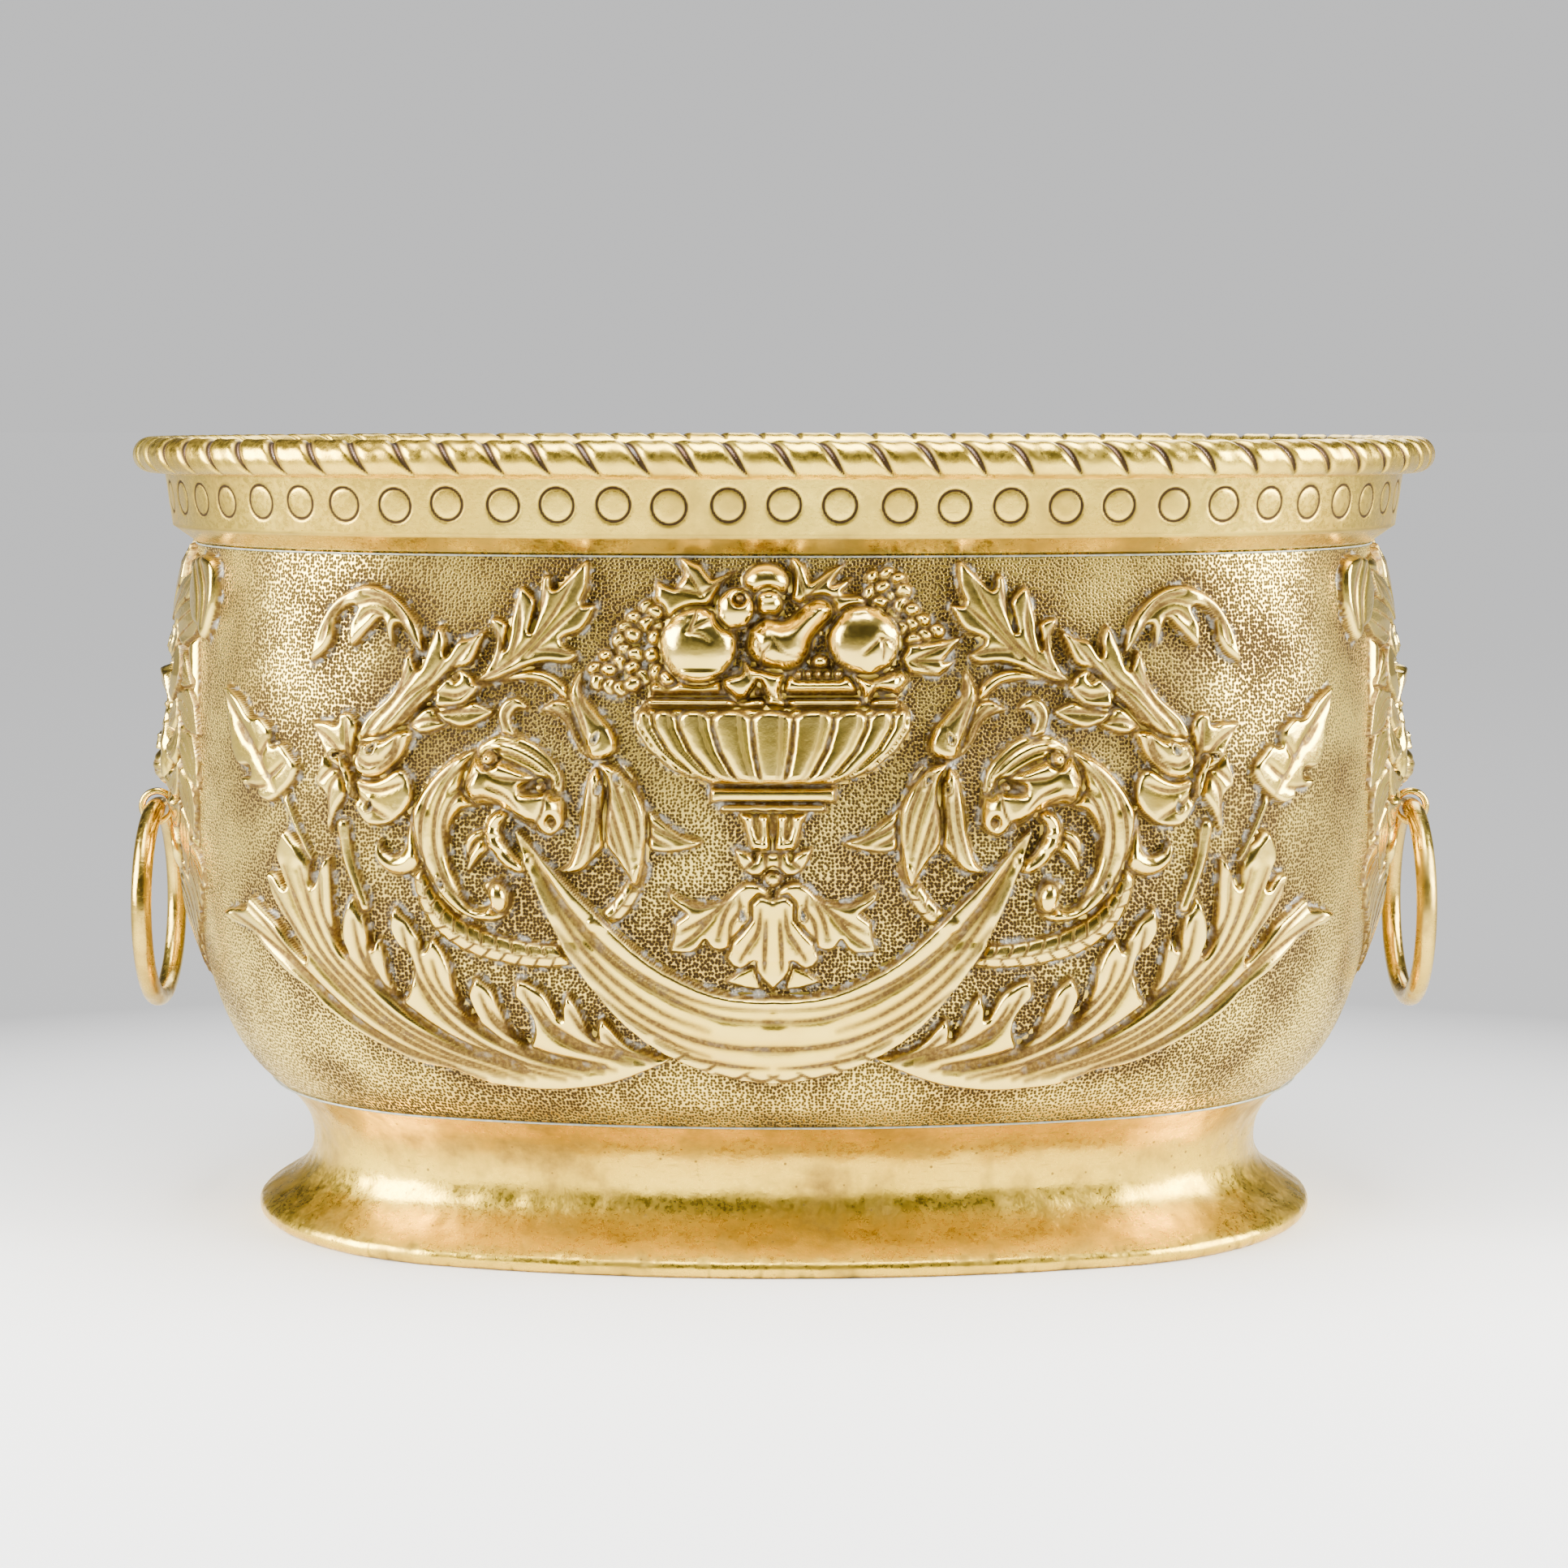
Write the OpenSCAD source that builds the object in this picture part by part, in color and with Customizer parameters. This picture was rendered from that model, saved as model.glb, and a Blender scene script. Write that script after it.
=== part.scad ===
// Oval brass planter pot: raised and chased bombe body on a spreading foot, plain collar,
// wired rope rim and two drop ring handles hung from lion masks.
// Origin at the centre of the oval on the ground, +X along the length, +Z up.

/* [Plan oval] */
// Half length of the rim over the roll
rim_half_length = 261.5; // [240:0.5:285]
// Distance of each end arc's centre from the middle
end_centre = 101.5; // [91:3.5:108.5]

/* [Heights] */
// Height of the pot over the rim
pot_height = 316; // [312:1:320]
// Height where the body meets the foot
seat_height = 57.5; // [55:0.5:60]
// Height where the body meets the collar
shoulder_height = 274; // [272:1:276]

/* [Sheet] */
// Thickness of the body sheet
wall = 1.2; // [1:0.1:1.6]
// Thickness of the foot and collar sheet
heavy_wall = 1.5; // [1.2:0.1:1.8]

/* [Rim and foot edge] */
// Radius of the rope rim
roll_r = 7.25; // [6.75:0.25:7.75]
// Radius of the wired foot edge
bead_r = 3.75; // [3.25:0.25:4]

/* [Ring handles] */
// Radius of the ring at its centreline
ring_r = 39; // [34:0.5:42]
// Radius of the ring's rod
rod_r = 4.25; // [3.5:0.25:4.5]
// Distance of the ring's plane from the middle of the pot
ring_x = 257.5; // [257:0.5:260]
// Height of the eye that the ring hangs in
eye_z = 164.5; // [162:0.5:166]

/* [Hidden] */
brass = "#cfae5b";
old_brass = "#b9963f";
iron = "#6b6560";
tin = "#a9a79c";
fine = 48;         // facets asked of a round
fine_solder = 16;  // facets asked of a line of solder
steps = 14;        // points along each curve of a profile
fit = 0.1;         // play between pieces of sheet and wire

// The oval is four arcs, tangent where they meet. The joints lie on the slope of a 7-24-25
// triangle, and the centres are the same at every height, so a profile is the same all round.
joint_way = [7, 24];
side_centre = end_centre * joint_way[1] / joint_way[0];
arc_gap = end_centre * norm(joint_way) / joint_way[0];
wedge_reach = 28;   // times joint_way, past the rim

// How far in from the collar's outer face each station of the profile lies
arris_in = 2.9;
shoulder_in = 12.6;
belly_in = 6;
seat_in = 38.9;
neck_in = 54.9;
foot_in = 32.4;
// Heights of the stations in between
arris_rise = 7;
belly_height = 178;
neck_height = 30;
bead_sunk = 0.25;   // how far the wired edge is worn flat underneath

// Profile stations, each [half length, height]
roll_centre = [rim_half_length - roll_r, pot_height - roll_r];
collar_top = roll_centre - [5.1, 5.7];
collar_x = collar_top[0];
collar_arris = [collar_x - arris_in, shoulder_height + arris_rise];
shoulder = [collar_x - shoulder_in, shoulder_height];
belly = [collar_x - belly_in, belly_height];
seat = [collar_x - seat_in, seat_height];
neck = [collar_x - neck_in, neck_height];
bead_centre = [collar_x - foot_in - bead_r, bead_r - bead_sunk];
toe = bead_centre + bead_r * [0.6, 0.8];

function bezier(a, b, c, d, n) =
    [for (i = [0:n]) let (t = i / n, s = 1 - t)
        s * s * s * a + 3 * s * s * t * b + 3 * s * t * t * c + t * t * t * d];
function unit(v) = v / norm(v);
// Points moved to the left of the way they run
function moved(p, by) =
    [for (i = [0:len(p) - 1])
        let (d = unit(p[min(i + 1, len(p) - 1)] - p[max(i - 1, 0)]))
        p[i] + by * [-d[1], d[0]]];
function reversed(p) = [for (i = [len(p) - 1:-1:0]) p[i]];
function body_curve() = concat(
    bezier(seat, seat + [22, 17], belly - [1.5, 65], belly, steps),
    [for (i = [1:steps]) bezier(belly, belly + [0.6, 30], shoulder + [2.6, -34], shoulder, steps)[i]]);
function foot_curve() = concat(
    bezier(toe, toe - [7, -6], neck - [0, 14], neck, steps),
    [for (i = [1:steps]) bezier(neck, neck + [0, 13], seat - [9, 7.5], seat, steps)[i]]);

// Half length of the body's outer face at a height
function body_at(z) = lookup(z, [for (p = body_curve()) [p[1], p[0]]]);

// Sweeps a profile, given as [half length, height], round the four-arc oval
module oval_sweep() {
    for (turn = [0, 180]) rotate([0, 0, turn]) {
        intersection() {
            translate([end_centre, 0, 0]) rotate_extrude($fn = 4 * fine)
                translate([-end_centre, 0]) children();
            wedge([end_centre, 0], -1);
        }
        intersection() {
            translate([0, -side_centre, 0]) rotate_extrude($fn = 4 * fine)
                translate([arc_gap - end_centre, 0]) children();
            wedge([0, -side_centre], 1);
        }
    }
}

// The sector of the oval round one arc's centre, upright on the ground
module wedge(tip, y_side) translate([0, 0, -1]) linear_extrude(pot_height + 2)
    polygon([tip, tip + wedge_reach * joint_way,
        tip + wedge_reach * [-y_side * joint_way[0], y_side * joint_way[1]]]);

// The filled oval
module oval_face(half) {
    end_r = half - end_centre;
    joint_x = end_centre + end_r * joint_way[0] / norm(joint_way);
    for (x = [-end_centre, end_centre]) translate([x, 0]) circle(end_r, $fn = 4 * fine);
    intersection() {
        translate([0, -side_centre]) circle(end_r + arc_gap, $fn = 8 * fine);
        translate([0, side_centre]) circle(end_r + arc_gap, $fn = 8 * fine);
        square([2 * joint_x, 2 * end_r + arc_gap], center = true);
    }
}

// Turns a piece built on the +X end to the end at -X as well
module at_end(left) rotate([0, 0, left ? 180 : 0]) children();

// A sheet's section from its outer face, run on past both ends and cut level at two heights
module sheet_profile(outer, thickness, low, high) {
    last = len(outer) - 1;
    face = concat([2 * outer[0] - outer[1]], outer, [2 * outer[last] - outer[last - 1]]);
    intersection() {
        polygon(concat(face, reversed(moved(face, thickness))));
        translate([0, low]) square([2 * rim_half_length, high - low]);
    }
}

module body_wall() color(brass) difference() {
    oval_sweep() sheet_profile(body_curve(), wall, seat_height, shoulder_height);
    for (left = [false, true]) at_end(left) pin_hole();
}

floor_in = 1.85;   // the floor lies on the foot's top edge, inside the body's sheet
module body_floor() color(old_brass) translate([0, 0, seat_height])
    linear_extrude(heavy_wall) oval_face(seat[0] - floor_in);

module collar_band() color(brass) oval_sweep()
    sheet_profile([shoulder, collar_arris, collar_top], heavy_wall, shoulder_height, collar_top[1]);

// The rope rim is a tube, with a lip that goes down inside the collar
lip_thick = 1;
lip_lean = 1.2;
lip_bend = 5.5;
lip_depth = 14;
lip_x = collar_x - heavy_wall - fit - lip_thick;
module rim_roll() color(brass) oval_sweep() {
    difference() {
        translate(roll_centre) circle(roll_r, $fn = fine);
        translate(roll_centre) circle(roll_r - heavy_wall, $fn = fine);
    }
    polygon([for (p = [[0, -1], [0, -lip_bend], [-lip_lean, -lip_depth],
        [lip_thick - lip_lean, -lip_depth], [lip_thick, -lip_bend], [lip_thick, -1]])
        [lip_x + p[0], roll_centre[1] + p[1]]]);
}

module rim_wire() color(iron) oval_sweep()
    translate(roll_centre) circle(roll_r - heavy_wall - fit, $fn = fine);

module foot_ring() color(old_brass) oval_sweep() difference() {
    union() {
        sheet_profile(foot_curve(), heavy_wall, 0, seat_height);
        intersection() {
            translate(bead_centre) circle(bead_r, $fn = fine);
            square([2 * rim_half_length, seat_height]);
        }
    }
    translate(bead_centre) circle(bead_r - wall, $fn = fine);
}

module foot_wire() color(iron) oval_sweep()
    translate(bead_centre) circle(bead_r - wall - fit, $fn = fine);

// Fillet of soft solder run round a joint on the outside
module solder_line(at, r) color(tin) oval_sweep() translate(at) circle(r, $fn = fine_solder);
module foot_solder() solder_line(seat + [0.5, -0.4], 0.45);
module collar_solder() solder_line(shoulder + [0.5, -0.3], 0.4);

// Lion mask: a chased sheet shell standing off the end of the body
mask_top = shoulder_height - 2;
mask_bottom = 92;
mask_gap = 0.15;
mouth_gap = 0.3;
mask_sheet = 1.2;
// Half width of the mask and its height off the body along the middle, by height
mask_half_width = [[92, 14], [100, 30], [112, 44], [125, 54], [140, 62], [152, 68], [175, 70],
    [200, 70], [220, 68], [238, 67], [243, 76], [256, 78], [266, 72], [272, 58]];
mask_relief = [[92, 1.7], [98, 2.3], [105, 3.4], [124, 6.2], [138, 7.8], [150, 8.6], [158, 9],
    [166, 9.1], [172, 11.5], [179, 14], [186, 14.8], [192, 13.8], [199, 11.2], [206, 10],
    [211, 9.8], [216, 11.6], [221, 12.6], [228, 11], [236, 9.4], [246, 8.9], [256, 8.2],
    [265, 7.2], [272, 4]];
mask_edge = 1.6;      // height off the body at the mask's edge
mask_flatness = 2.6;
mask_fall = 0.38;     // share of the height lost between the middle and the cheeks
mask_rows = 34;
mask_columns = 28;
function mask_z(j) = mask_bottom + (mask_top - mask_bottom) * j / mask_rows;
function mask_rise(u, z) =
    let (inward = 1 - pow(abs(u), mask_flatness))
    mask_edge + (lookup(z, mask_relief) - mask_edge) * inward * (1 - mask_fall * (1 - cos(150 * u)));
function mask_point(i, j, off) =
    let (u = 2 * i / mask_columns - 1, z = mask_z(j),
        r = body_at(z) - end_centre,
        turn = u * lookup(z, mask_half_width) / r * 180 / PI,
        h = mask_rise(u, z) - off)
    [end_centre + (r + max(h, mask_gap)) * cos(turn), (r + max(h, mask_gap)) * sin(turn), z];
module mask_shell() {
    across = mask_columns + 1;
    back = across * (mask_rows + 1);
    outer = [for (j = [0:mask_rows]) for (i = [0:mask_columns]) mask_point(i, j, 0)];
    inner = [for (j = [0:mask_rows]) for (i = [0:mask_columns]) mask_point(i, j, mask_sheet)];
    grid = [for (j = [0:mask_rows - 1]) for (i = [0:mask_columns - 1]) across * j + i];
    ring = concat(
        [for (i = [0:mask_columns - 1]) i],
        [for (j = [0:mask_rows - 1]) across * j + mask_columns],
        [for (i = [mask_columns:-1:1]) across * mask_rows + i],
        [for (j = [mask_rows:-1:1]) across * j]);
    polyhedron(concat(outer, inner), concat(
        [for (k = grid) each [[k, k + across, k + 1], [k + 1, k + across, k + across + 1]]],
        [for (k = grid) each [[back + k, back + k + 1, back + k + across],
            [back + k + 1, back + k + across + 1, back + k + across]]],
        [for (k = [0:len(ring) - 1]) let (a = ring[k], b = ring[(k + 1) % len(ring)])
            each [[a, b, back + a], [b, back + b, back + a]]]));
}
module mask(left) color(brass) at_end(left) difference() {
    mask_shell();
    pin_hole();
    mouth_slot();
}
module mouth_slot() translate(eye_centre) rotate([90, 0, 0])
    cylinder(r = eye_r + eye_wire + mouth_gap, h = 2 * (eye_wire + mouth_gap), center = true,
        $fn = fine);

// Split eye: one rod bent round the ring, both legs through mask and body
eye_wire = 1.4;
eye_play = 0.65;      // play round the ring's rod
eye_r = rod_r + eye_play + eye_wire;
eye_centre = [ring_x, 0, eye_z];
leg_r = 2.2;
leg_play = 0.2;
leg_bend = 9;         // length of each bent-over leg
leg_past = 3;         // how far the legs stand past the washer
inner_face = body_at(eye_z) - wall;
washer_r = 9;
washer_thick = 1.2;
washer_face = inner_face - 0.7;
hole_length = 40;
module pin_hole() translate([inner_face - hole_length / 6, 0, eye_z]) rotate([0, 90, 0])
    cylinder(r = leg_r + leg_play, h = hole_length, $fn = fine);
module split_eye(left) color(old_brass) at_end(left) {
    translate(eye_centre) rotate([90, 0, 0]) rotate_extrude($fn = fine)
        translate([eye_r, 0]) circle(eye_wire, $fn = fine / 2);
    leg_end = washer_face - washer_thick - leg_past;
    translate([leg_end, 0, eye_z]) rotate([0, 90, 0])
        cylinder(r = leg_r, h = eye_centre[0] - eye_r - leg_end, $fn = fine);
    for (base = [0, -leg_bend]) translate([leg_end, -leg_r, eye_z + base])
        cube([leg_r, 2 * leg_r, leg_bend]);
}
module washer(left) color(brass) at_end(left) difference() {
    translate([washer_face - washer_thick, 0, eye_z]) rotate([0, 90, 0])
        cylinder(r = washer_r, h = washer_thick, $fn = fine);
    pin_hole();
}

// Ring handle, hanging in the eye
ring_drop = 0.35;
module ring_handle(left) color(old_brass) at_end(left)
    translate([ring_x, 0, eye_z - ring_drop - ring_r]) rotate([0, 90, 0])
        rotate_extrude($fn = 2 * fine) translate([ring_r, 0]) circle(rod_r, $fn = fine);

body_wall();
body_floor();
collar_band();
rim_roll();
rim_wire();
foot_ring();
foot_wire();
foot_solder();
collar_solder();
mask(true);  // mask_left
mask(false);  // mask_right
split_eye(true);  // eye_left
split_eye(false);  // eye_right
washer(true);  // washer_left
washer(false);  // washer_right
ring_handle(true);  // ring_left
ring_handle(false);  // ring_right
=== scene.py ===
"""Looks of an oval brass planter pot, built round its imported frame.

The chased body is a height map: shapes are laid one over another on half of the wall, in
millimetres along the wall from the middle of its side and up from the ground, and the map then
lifts the body's surface. The same map, turned half a turn, makes the far side.
"""
import math

import bpy
import numpy as np
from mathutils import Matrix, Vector


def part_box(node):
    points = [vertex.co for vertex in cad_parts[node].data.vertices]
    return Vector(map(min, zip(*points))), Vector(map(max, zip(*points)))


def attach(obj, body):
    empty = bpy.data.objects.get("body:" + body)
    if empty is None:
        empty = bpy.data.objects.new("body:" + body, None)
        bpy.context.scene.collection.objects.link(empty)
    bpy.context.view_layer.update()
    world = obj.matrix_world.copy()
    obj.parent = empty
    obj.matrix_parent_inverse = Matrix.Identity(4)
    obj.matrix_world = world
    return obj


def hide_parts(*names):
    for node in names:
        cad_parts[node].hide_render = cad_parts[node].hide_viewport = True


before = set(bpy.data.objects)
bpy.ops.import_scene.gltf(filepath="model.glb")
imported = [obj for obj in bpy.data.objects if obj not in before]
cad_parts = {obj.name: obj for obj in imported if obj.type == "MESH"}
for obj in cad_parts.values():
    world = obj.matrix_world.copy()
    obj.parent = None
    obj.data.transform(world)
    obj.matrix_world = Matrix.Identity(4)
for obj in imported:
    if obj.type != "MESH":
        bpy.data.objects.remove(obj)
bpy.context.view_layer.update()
MM = 0.001


# ---------------------------------------------------------------- the frame's own dimensions

def box_mm(node):
    """Lowest and highest corner of a CAD node, in millimetres."""
    low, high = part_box(node)
    return np.array(low) / MM, np.array(high) / MM


def half_at(node, z):
    """Half length of a CAD node's outer edge at a height where it has one."""
    points = np.array([v.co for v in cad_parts[node].data.vertices]) / MM
    return points[np.abs(points[:, 2] - z) < 0.01, 0].max()


body_low, body_high = box_mm("body_wall")
roll_low, roll_high = box_mm("rim_roll")
collar_low, collar_high = box_mm("collar_band")
foot_low, foot_high = box_mm("foot_ring")
pot_top = roll_high[2]
seat_z, shoulder_z = body_low[2], body_high[2]

# The plan is a four-arc oval whose joints lie on the slope of a 7-24-25 triangle.
oval_unit = (body_high[0] - body_high[1]) / 6
END_CENTRE, SIDE_CENTRE, ARC_GAP = 7 * oval_unit, 24 * oval_unit, 25 * oval_unit
SIDE_HALF_ANGLE = math.atan2(7, 24)
belly_r = body_high[0] - END_CENTRE
side_run = (belly_r + ARC_GAP) * SIDE_HALF_ANGLE
end_run = belly_r * (math.pi / 2 - SIDE_HALF_ANGLE)
quarter = side_run + end_run


def on_oval(s, half):
    """Point and outward normal on the oval of a half length, s along the belly from the front's middle."""
    run = np.abs(s)
    r = half - END_CENTRE
    on_side = run <= side_run
    turn = np.where(on_side, run / (belly_r + ARC_GAP),
                    SIDE_HALF_ANGLE + (run - side_run) / belly_r)
    nx, ny = np.sin(turn), -np.cos(turn)
    x = np.where(on_side, nx * (r + ARC_GAP), END_CENTRE + nx * r)
    y = np.where(on_side, SIDE_CENTRE + ny * (r + ARC_GAP), ny * r)
    flip = np.where(s < 0, -1.0, 1.0)
    return flip * x, y, flip * nx, ny


def even_run(points, count):
    """Points an equal distance apart along a polyline."""
    points = np.asarray(points, float)
    run = np.r_[0, np.cumsum(np.hypot(*np.diff(points, axis=0).T))]
    want = np.linspace(0, run[-1], count)
    return np.stack([np.interp(want, run, points[:, i]) for i in range(points.shape[1])], 1)


def bezier(a, b, c, d, count=24):
    t = np.linspace(0, 1, count)[:, None]
    a, b, c, d = (np.asarray(p, float) for p in (a, b, c, d))
    return (1 - t) ** 3 * a + 3 * (1 - t) ** 2 * t * b + 3 * (1 - t) * t * t * c + t ** 3 * d


def smooth_through(points, count=40):
    """A Catmull-Rom curve through the points."""
    p = np.asarray(points, float)
    if len(p) < 3:
        return even_run(p, count)
    p = np.vstack([2 * p[0] - p[1], p, 2 * p[-1] - p[-2]])
    out = []
    for a, b, c, d in zip(p, p[1:], p[2:], p[3:]):
        t = np.linspace(0, 1, 12)[:, None]
        out.append(0.5 * (2 * b + (c - a) * t + (2 * a - 5 * b + 4 * c - d) * t ** 2
                          + (3 * b - a - 3 * c + d) * t ** 3))
    return even_run(np.vstack(out), count)


def body_section():
    """The body's outer face at its end, as (half length, height) from the foot up to the collar."""
    seat = np.array([half_at("body_wall", seat_z), seat_z])
    belly = np.array([body_high[0], 178])
    shoulder = np.array([half_at("body_wall", shoulder_z), shoulder_z])
    lower = bezier(seat, seat + [22, 17], belly - [1.5, 65], belly)
    upper = bezier(belly, belly + [0.6, 30], shoulder + [2.6, -34], shoulder)
    return np.vstack([lower, upper[1:]])


def foot_section():
    """The foot's outer face, from its seam with the body down to the wired edge."""
    seat = np.array([half_at("body_wall", seat_z), seat_z])
    neck = seat - [16, 27.5]
    toe = np.array([foot_high[0] - 1.5, 6.5])
    upper = bezier(seat, seat - [9, 7.5], neck + [0, 13], neck, 22)
    lower = bezier(neck, neck - [0, 14], toe - [7, -6], toe, 22)
    return np.vstack([upper, lower[1:]])


# ---------------------------------------------------------------- numbers on a grid

def value_noise(x, y, seed):
    """Smooth noise from -1 to 1, one cell to a unit."""
    cell_x, cell_y = np.floor(x).astype(int), np.floor(y).astype(int)
    fx, fy = x - cell_x, y - cell_y
    fx, fy = fx * fx * (3 - 2 * fx), fy * fy * (3 - 2 * fy)

    def corner(i, j):
        n = np.sin((cell_x + i) * 127.1 + (cell_y + j) * 311.7 + seed * 74.7) * 43758.5453
        return 2 * (n - np.floor(n)) - 1

    low = corner(0, 0) * (1 - fx) + corner(1, 0) * fx
    high = corner(0, 1) * (1 - fx) + corner(1, 1) * fx
    return low * (1 - fy) + high * fy


def blur(field, reach):
    """Three passes of a box blur, reach cells each way."""
    for axis in (0, 1):
        for _ in range(3):
            padded = np.concatenate([np.repeat(field.take([0], axis), reach + 1, axis), field,
                                     np.repeat(field.take([-1], axis), reach, axis)], axis)
            total = np.cumsum(padded, axis)
            n = field.shape[axis]
            field = (total.take(range(2 * reach + 1, 2 * reach + 1 + n), axis)
                     - total.take(range(0, n), axis)) / (2 * reach + 1)
    return field


def dip(x, width):
    """1 at 0, falling away over a width either side."""
    return np.exp(-(x / width) ** 2)


class Relief:
    """Height map of chased work: height, 1 where the metal is polished, 1 where a line is cut."""

    def __init__(self, s, z):
        self.s, self.z = s, z
        self.height = np.zeros((len(z), len(s)))
        self.polished = np.zeros_like(self.height)
        self.cut = np.zeros_like(self.height)
        self.shift = 0.0

    def window(self, points, margin):
        points = np.asarray(points)
        (s0, z0), (s1, z1) = points.min(0) - margin, points.max(0) + margin
        rows = slice(*np.searchsorted(self.z, [z0, z1]))
        cols = slice(*np.searchsorted(self.s, [s0, s1]))
        s, z = np.meshgrid(self.s[cols], self.z[rows])
        return (rows, cols), s, z

    def lay(self, at, inside, height, cut=0.0, under=0.25):
        """Lays a shape over what is there. inside is the distance in from its edge."""
        cover = np.clip(inside / 0.9 + 0.5, 0, 1)
        old = self.height[at]
        outline = dip(inside - 0.1, 0.7)
        self.height[at] = old * (1 - cover) * (1 - 0.55 * dip(np.minimum(inside, 0), 1.4)) \
            + cover * (under * old + height)
        self.polished[at] = np.maximum(self.polished[at], cover)
        self.cut[at] = np.maximum(self.cut[at] * (1 - cover), np.maximum(outline, cut * cover))

    def ribbon(self, points, half_width, rise, flutes=0, scales=0.0, lobes=0, deep=0.5,
               flat=0.0, groove=0.5, seed=0):
        """A tapering band along a curve, with flutes, scales or lobed edges."""
        points = np.asarray(points, float) + [self.shift, 0]
        path = smooth_through(points, 34)
        width = np.atleast_1d(np.asarray(half_width, float))
        at, s, z = self.window(path, width.max() + 2.5)
        near = np.full(s.shape, 1e9)
        t = np.zeros(s.shape)
        across = np.zeros(s.shape)
        step = np.diff(path, axis=0)
        for i, (p, v) in enumerate(zip(path[:-1], step)):
            ds, dz = s - p[0], z - p[1]
            along = np.clip((ds * v[0] + dz * v[1]) / (v @ v), 0, 1)
            d = np.hypot(ds - along * v[0], dz - along * v[1])
            better = d < near
            near = np.where(better, d, near)
            t = np.where(better, (i + along) / len(step), t)
            across = np.where(better, np.sign(v[0] * dz - v[1] * ds), across)
        length = np.hypot(*step.T).sum()
        u = np.clip(t - (0.8 * near / length if lobes else 0), 0, 1)
        w = np.interp(u, np.linspace(0, 1, len(width)), width)
        cut = np.zeros(s.shape)
        if lobes:
            phase = (u * lobes) % 1
            w = w * (1 - deep + deep * np.sin(np.pi * phase ** 0.75) ** 0.7)
            cut = np.maximum(cut, dip(np.minimum(phase, 1 - phase) * length / lobes, 0.5)
                             * np.clip(near / w - 0.25, 0, 1))
            cut = np.maximum(cut, 0.7 * dip((phase - 0.55) * length / lobes, 0.45)
                             * (near / w < 0.7))
            cut = np.maximum(cut, dip(near, 0.5) * (t < 0.9))
        inside = w - near
        x = np.clip(near / np.maximum(w, 0.3), 0, 1)
        dome = np.sqrt(np.clip(1 - x ** 2, 0, 1))
        dome = flat * np.minimum(1, dome * 2.5) + (1 - flat) * dome
        h = np.interp(t, np.linspace(0, 1, np.size(rise)), np.atleast_1d(rise)) * dome
        if flutes:
            wave = np.cos(np.pi * flutes * (x * across + 0.06 * np.sin(5 * t + seed)) + np.pi * (flutes + 1))
            fade = np.clip(6 * t, 0, 1) * np.clip(w / 2.5, 0, 1)
            h = h + groove * fade * (wave - 0.6) * (1 - x ** 4)
            cut = np.maximum(cut, 0.85 * np.clip(-wave - 0.45, 0, 1) * 1.8 * fade * (x < 0.93))
        if scales:
            row = t * length / scales + 0.6 * x * w / scales + 0.5 * (across > 0)
            step_up = row % 1
            h = h + 0.8 * step_up - 0.4
            cut = np.maximum(cut, dip(np.minimum(step_up, 1 - step_up) * scales, 0.5))
            cut = np.maximum(cut, 0.7 * dip(near, 0.5))
        self.lay(at, inside, h, cut)

    def leaf(self, base, tip, half_width, rise=3.5, bend=0.0, veins=1, tip_at=0.62):
        """A leaflet from base to tip, bent to one side, with veins along it."""
        base, tip = np.asarray(base, float), np.asarray(tip, float)
        way = tip - base
        middle = base + 0.5 * way + bend * np.array([-way[1], way[0]])
        w = half_width * np.array([0.3, 0.75, 1.0, 0.9, 0.55, 0.06])
        self.ribbon([base, middle, tip], w, rise * np.array([0.7, 1, 1, 0.9, 0.5]),
                    flutes=veins, flat=0.35, groove=0.45)

    def dome(self, s, z, rs, rz, rise, turn=0.0, ring=0.0, power=0.5):
        """An ellipsoid swelling. ring cuts a circle that far in, as a share of the radius."""
        s = s + self.shift
        at, gs, gz = self.window([[s, z]], max(rs, rz) + 2.5)
        c, n = math.cos(math.radians(turn)), math.sin(math.radians(turn))
        a, b = (gs - s) * c + (gz - z) * n, -(gs - s) * n + (gz - z) * c
        q = np.hypot(a / rs, b / rz)
        height = rise * np.clip(1 - q * q, 0, 1) ** power
        cut = 0.9 * dip((q - ring) * min(rs, rz), 0.35) if ring else 0.0
        self.lay(at, (1 - q) * min(rs, rz), height, cut)

    def patch(self, points, rise, bevel=2.5, curve=True, shape=None, under=0.25):
        """A closed outline raised with a bevelled edge. shape(s, z, inside) may add (height, cut)."""
        points = np.asarray(points, float) + [self.shift, 0]
        closed = np.vstack([points, points[:1]])
        if curve:
            closed = smooth_through(closed, 6 * len(points))
        at, s, z = self.window(closed, 2.5)
        near = np.full(s.shape, 1e9)
        odd = np.zeros(s.shape, bool)
        for p, q in zip(closed, np.vstack([closed[1:], closed[:1]])):
            v = q - p
            if v @ v < 1e-9:
                continue
            ds, dz = s - p[0], z - p[1]
            along = np.clip((ds * v[0] + dz * v[1]) / (v @ v), 0, 1)
            near = np.minimum(near, np.hypot(ds - along * v[0], dz - along * v[1]))
            if v[1]:
                odd ^= ((p[1] > z) != (q[1] > z)) & (s < v[0] * (z - p[1]) / v[1] + p[0])
        inside = np.where(odd, near, -near)
        height = rise * np.sin(np.clip(inside / bevel, 0, 1) * np.pi / 2) ** 0.8
        cut = 0.0
        if shape:
            more, cut = shape(s - self.shift, z, inside)
            height = height + more
        self.lay(at, inside, height, cut, under)


def each_side(draw, relief):
    """Draws a motif on the left and, mirrored, on the right. Its points give distances from the middle."""
    for side in (-1, 1):
        draw(relief, lambda points: [(side * d, z) for d, z in points], side)


# ---------------------------------------------------------------- the motifs

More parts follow.
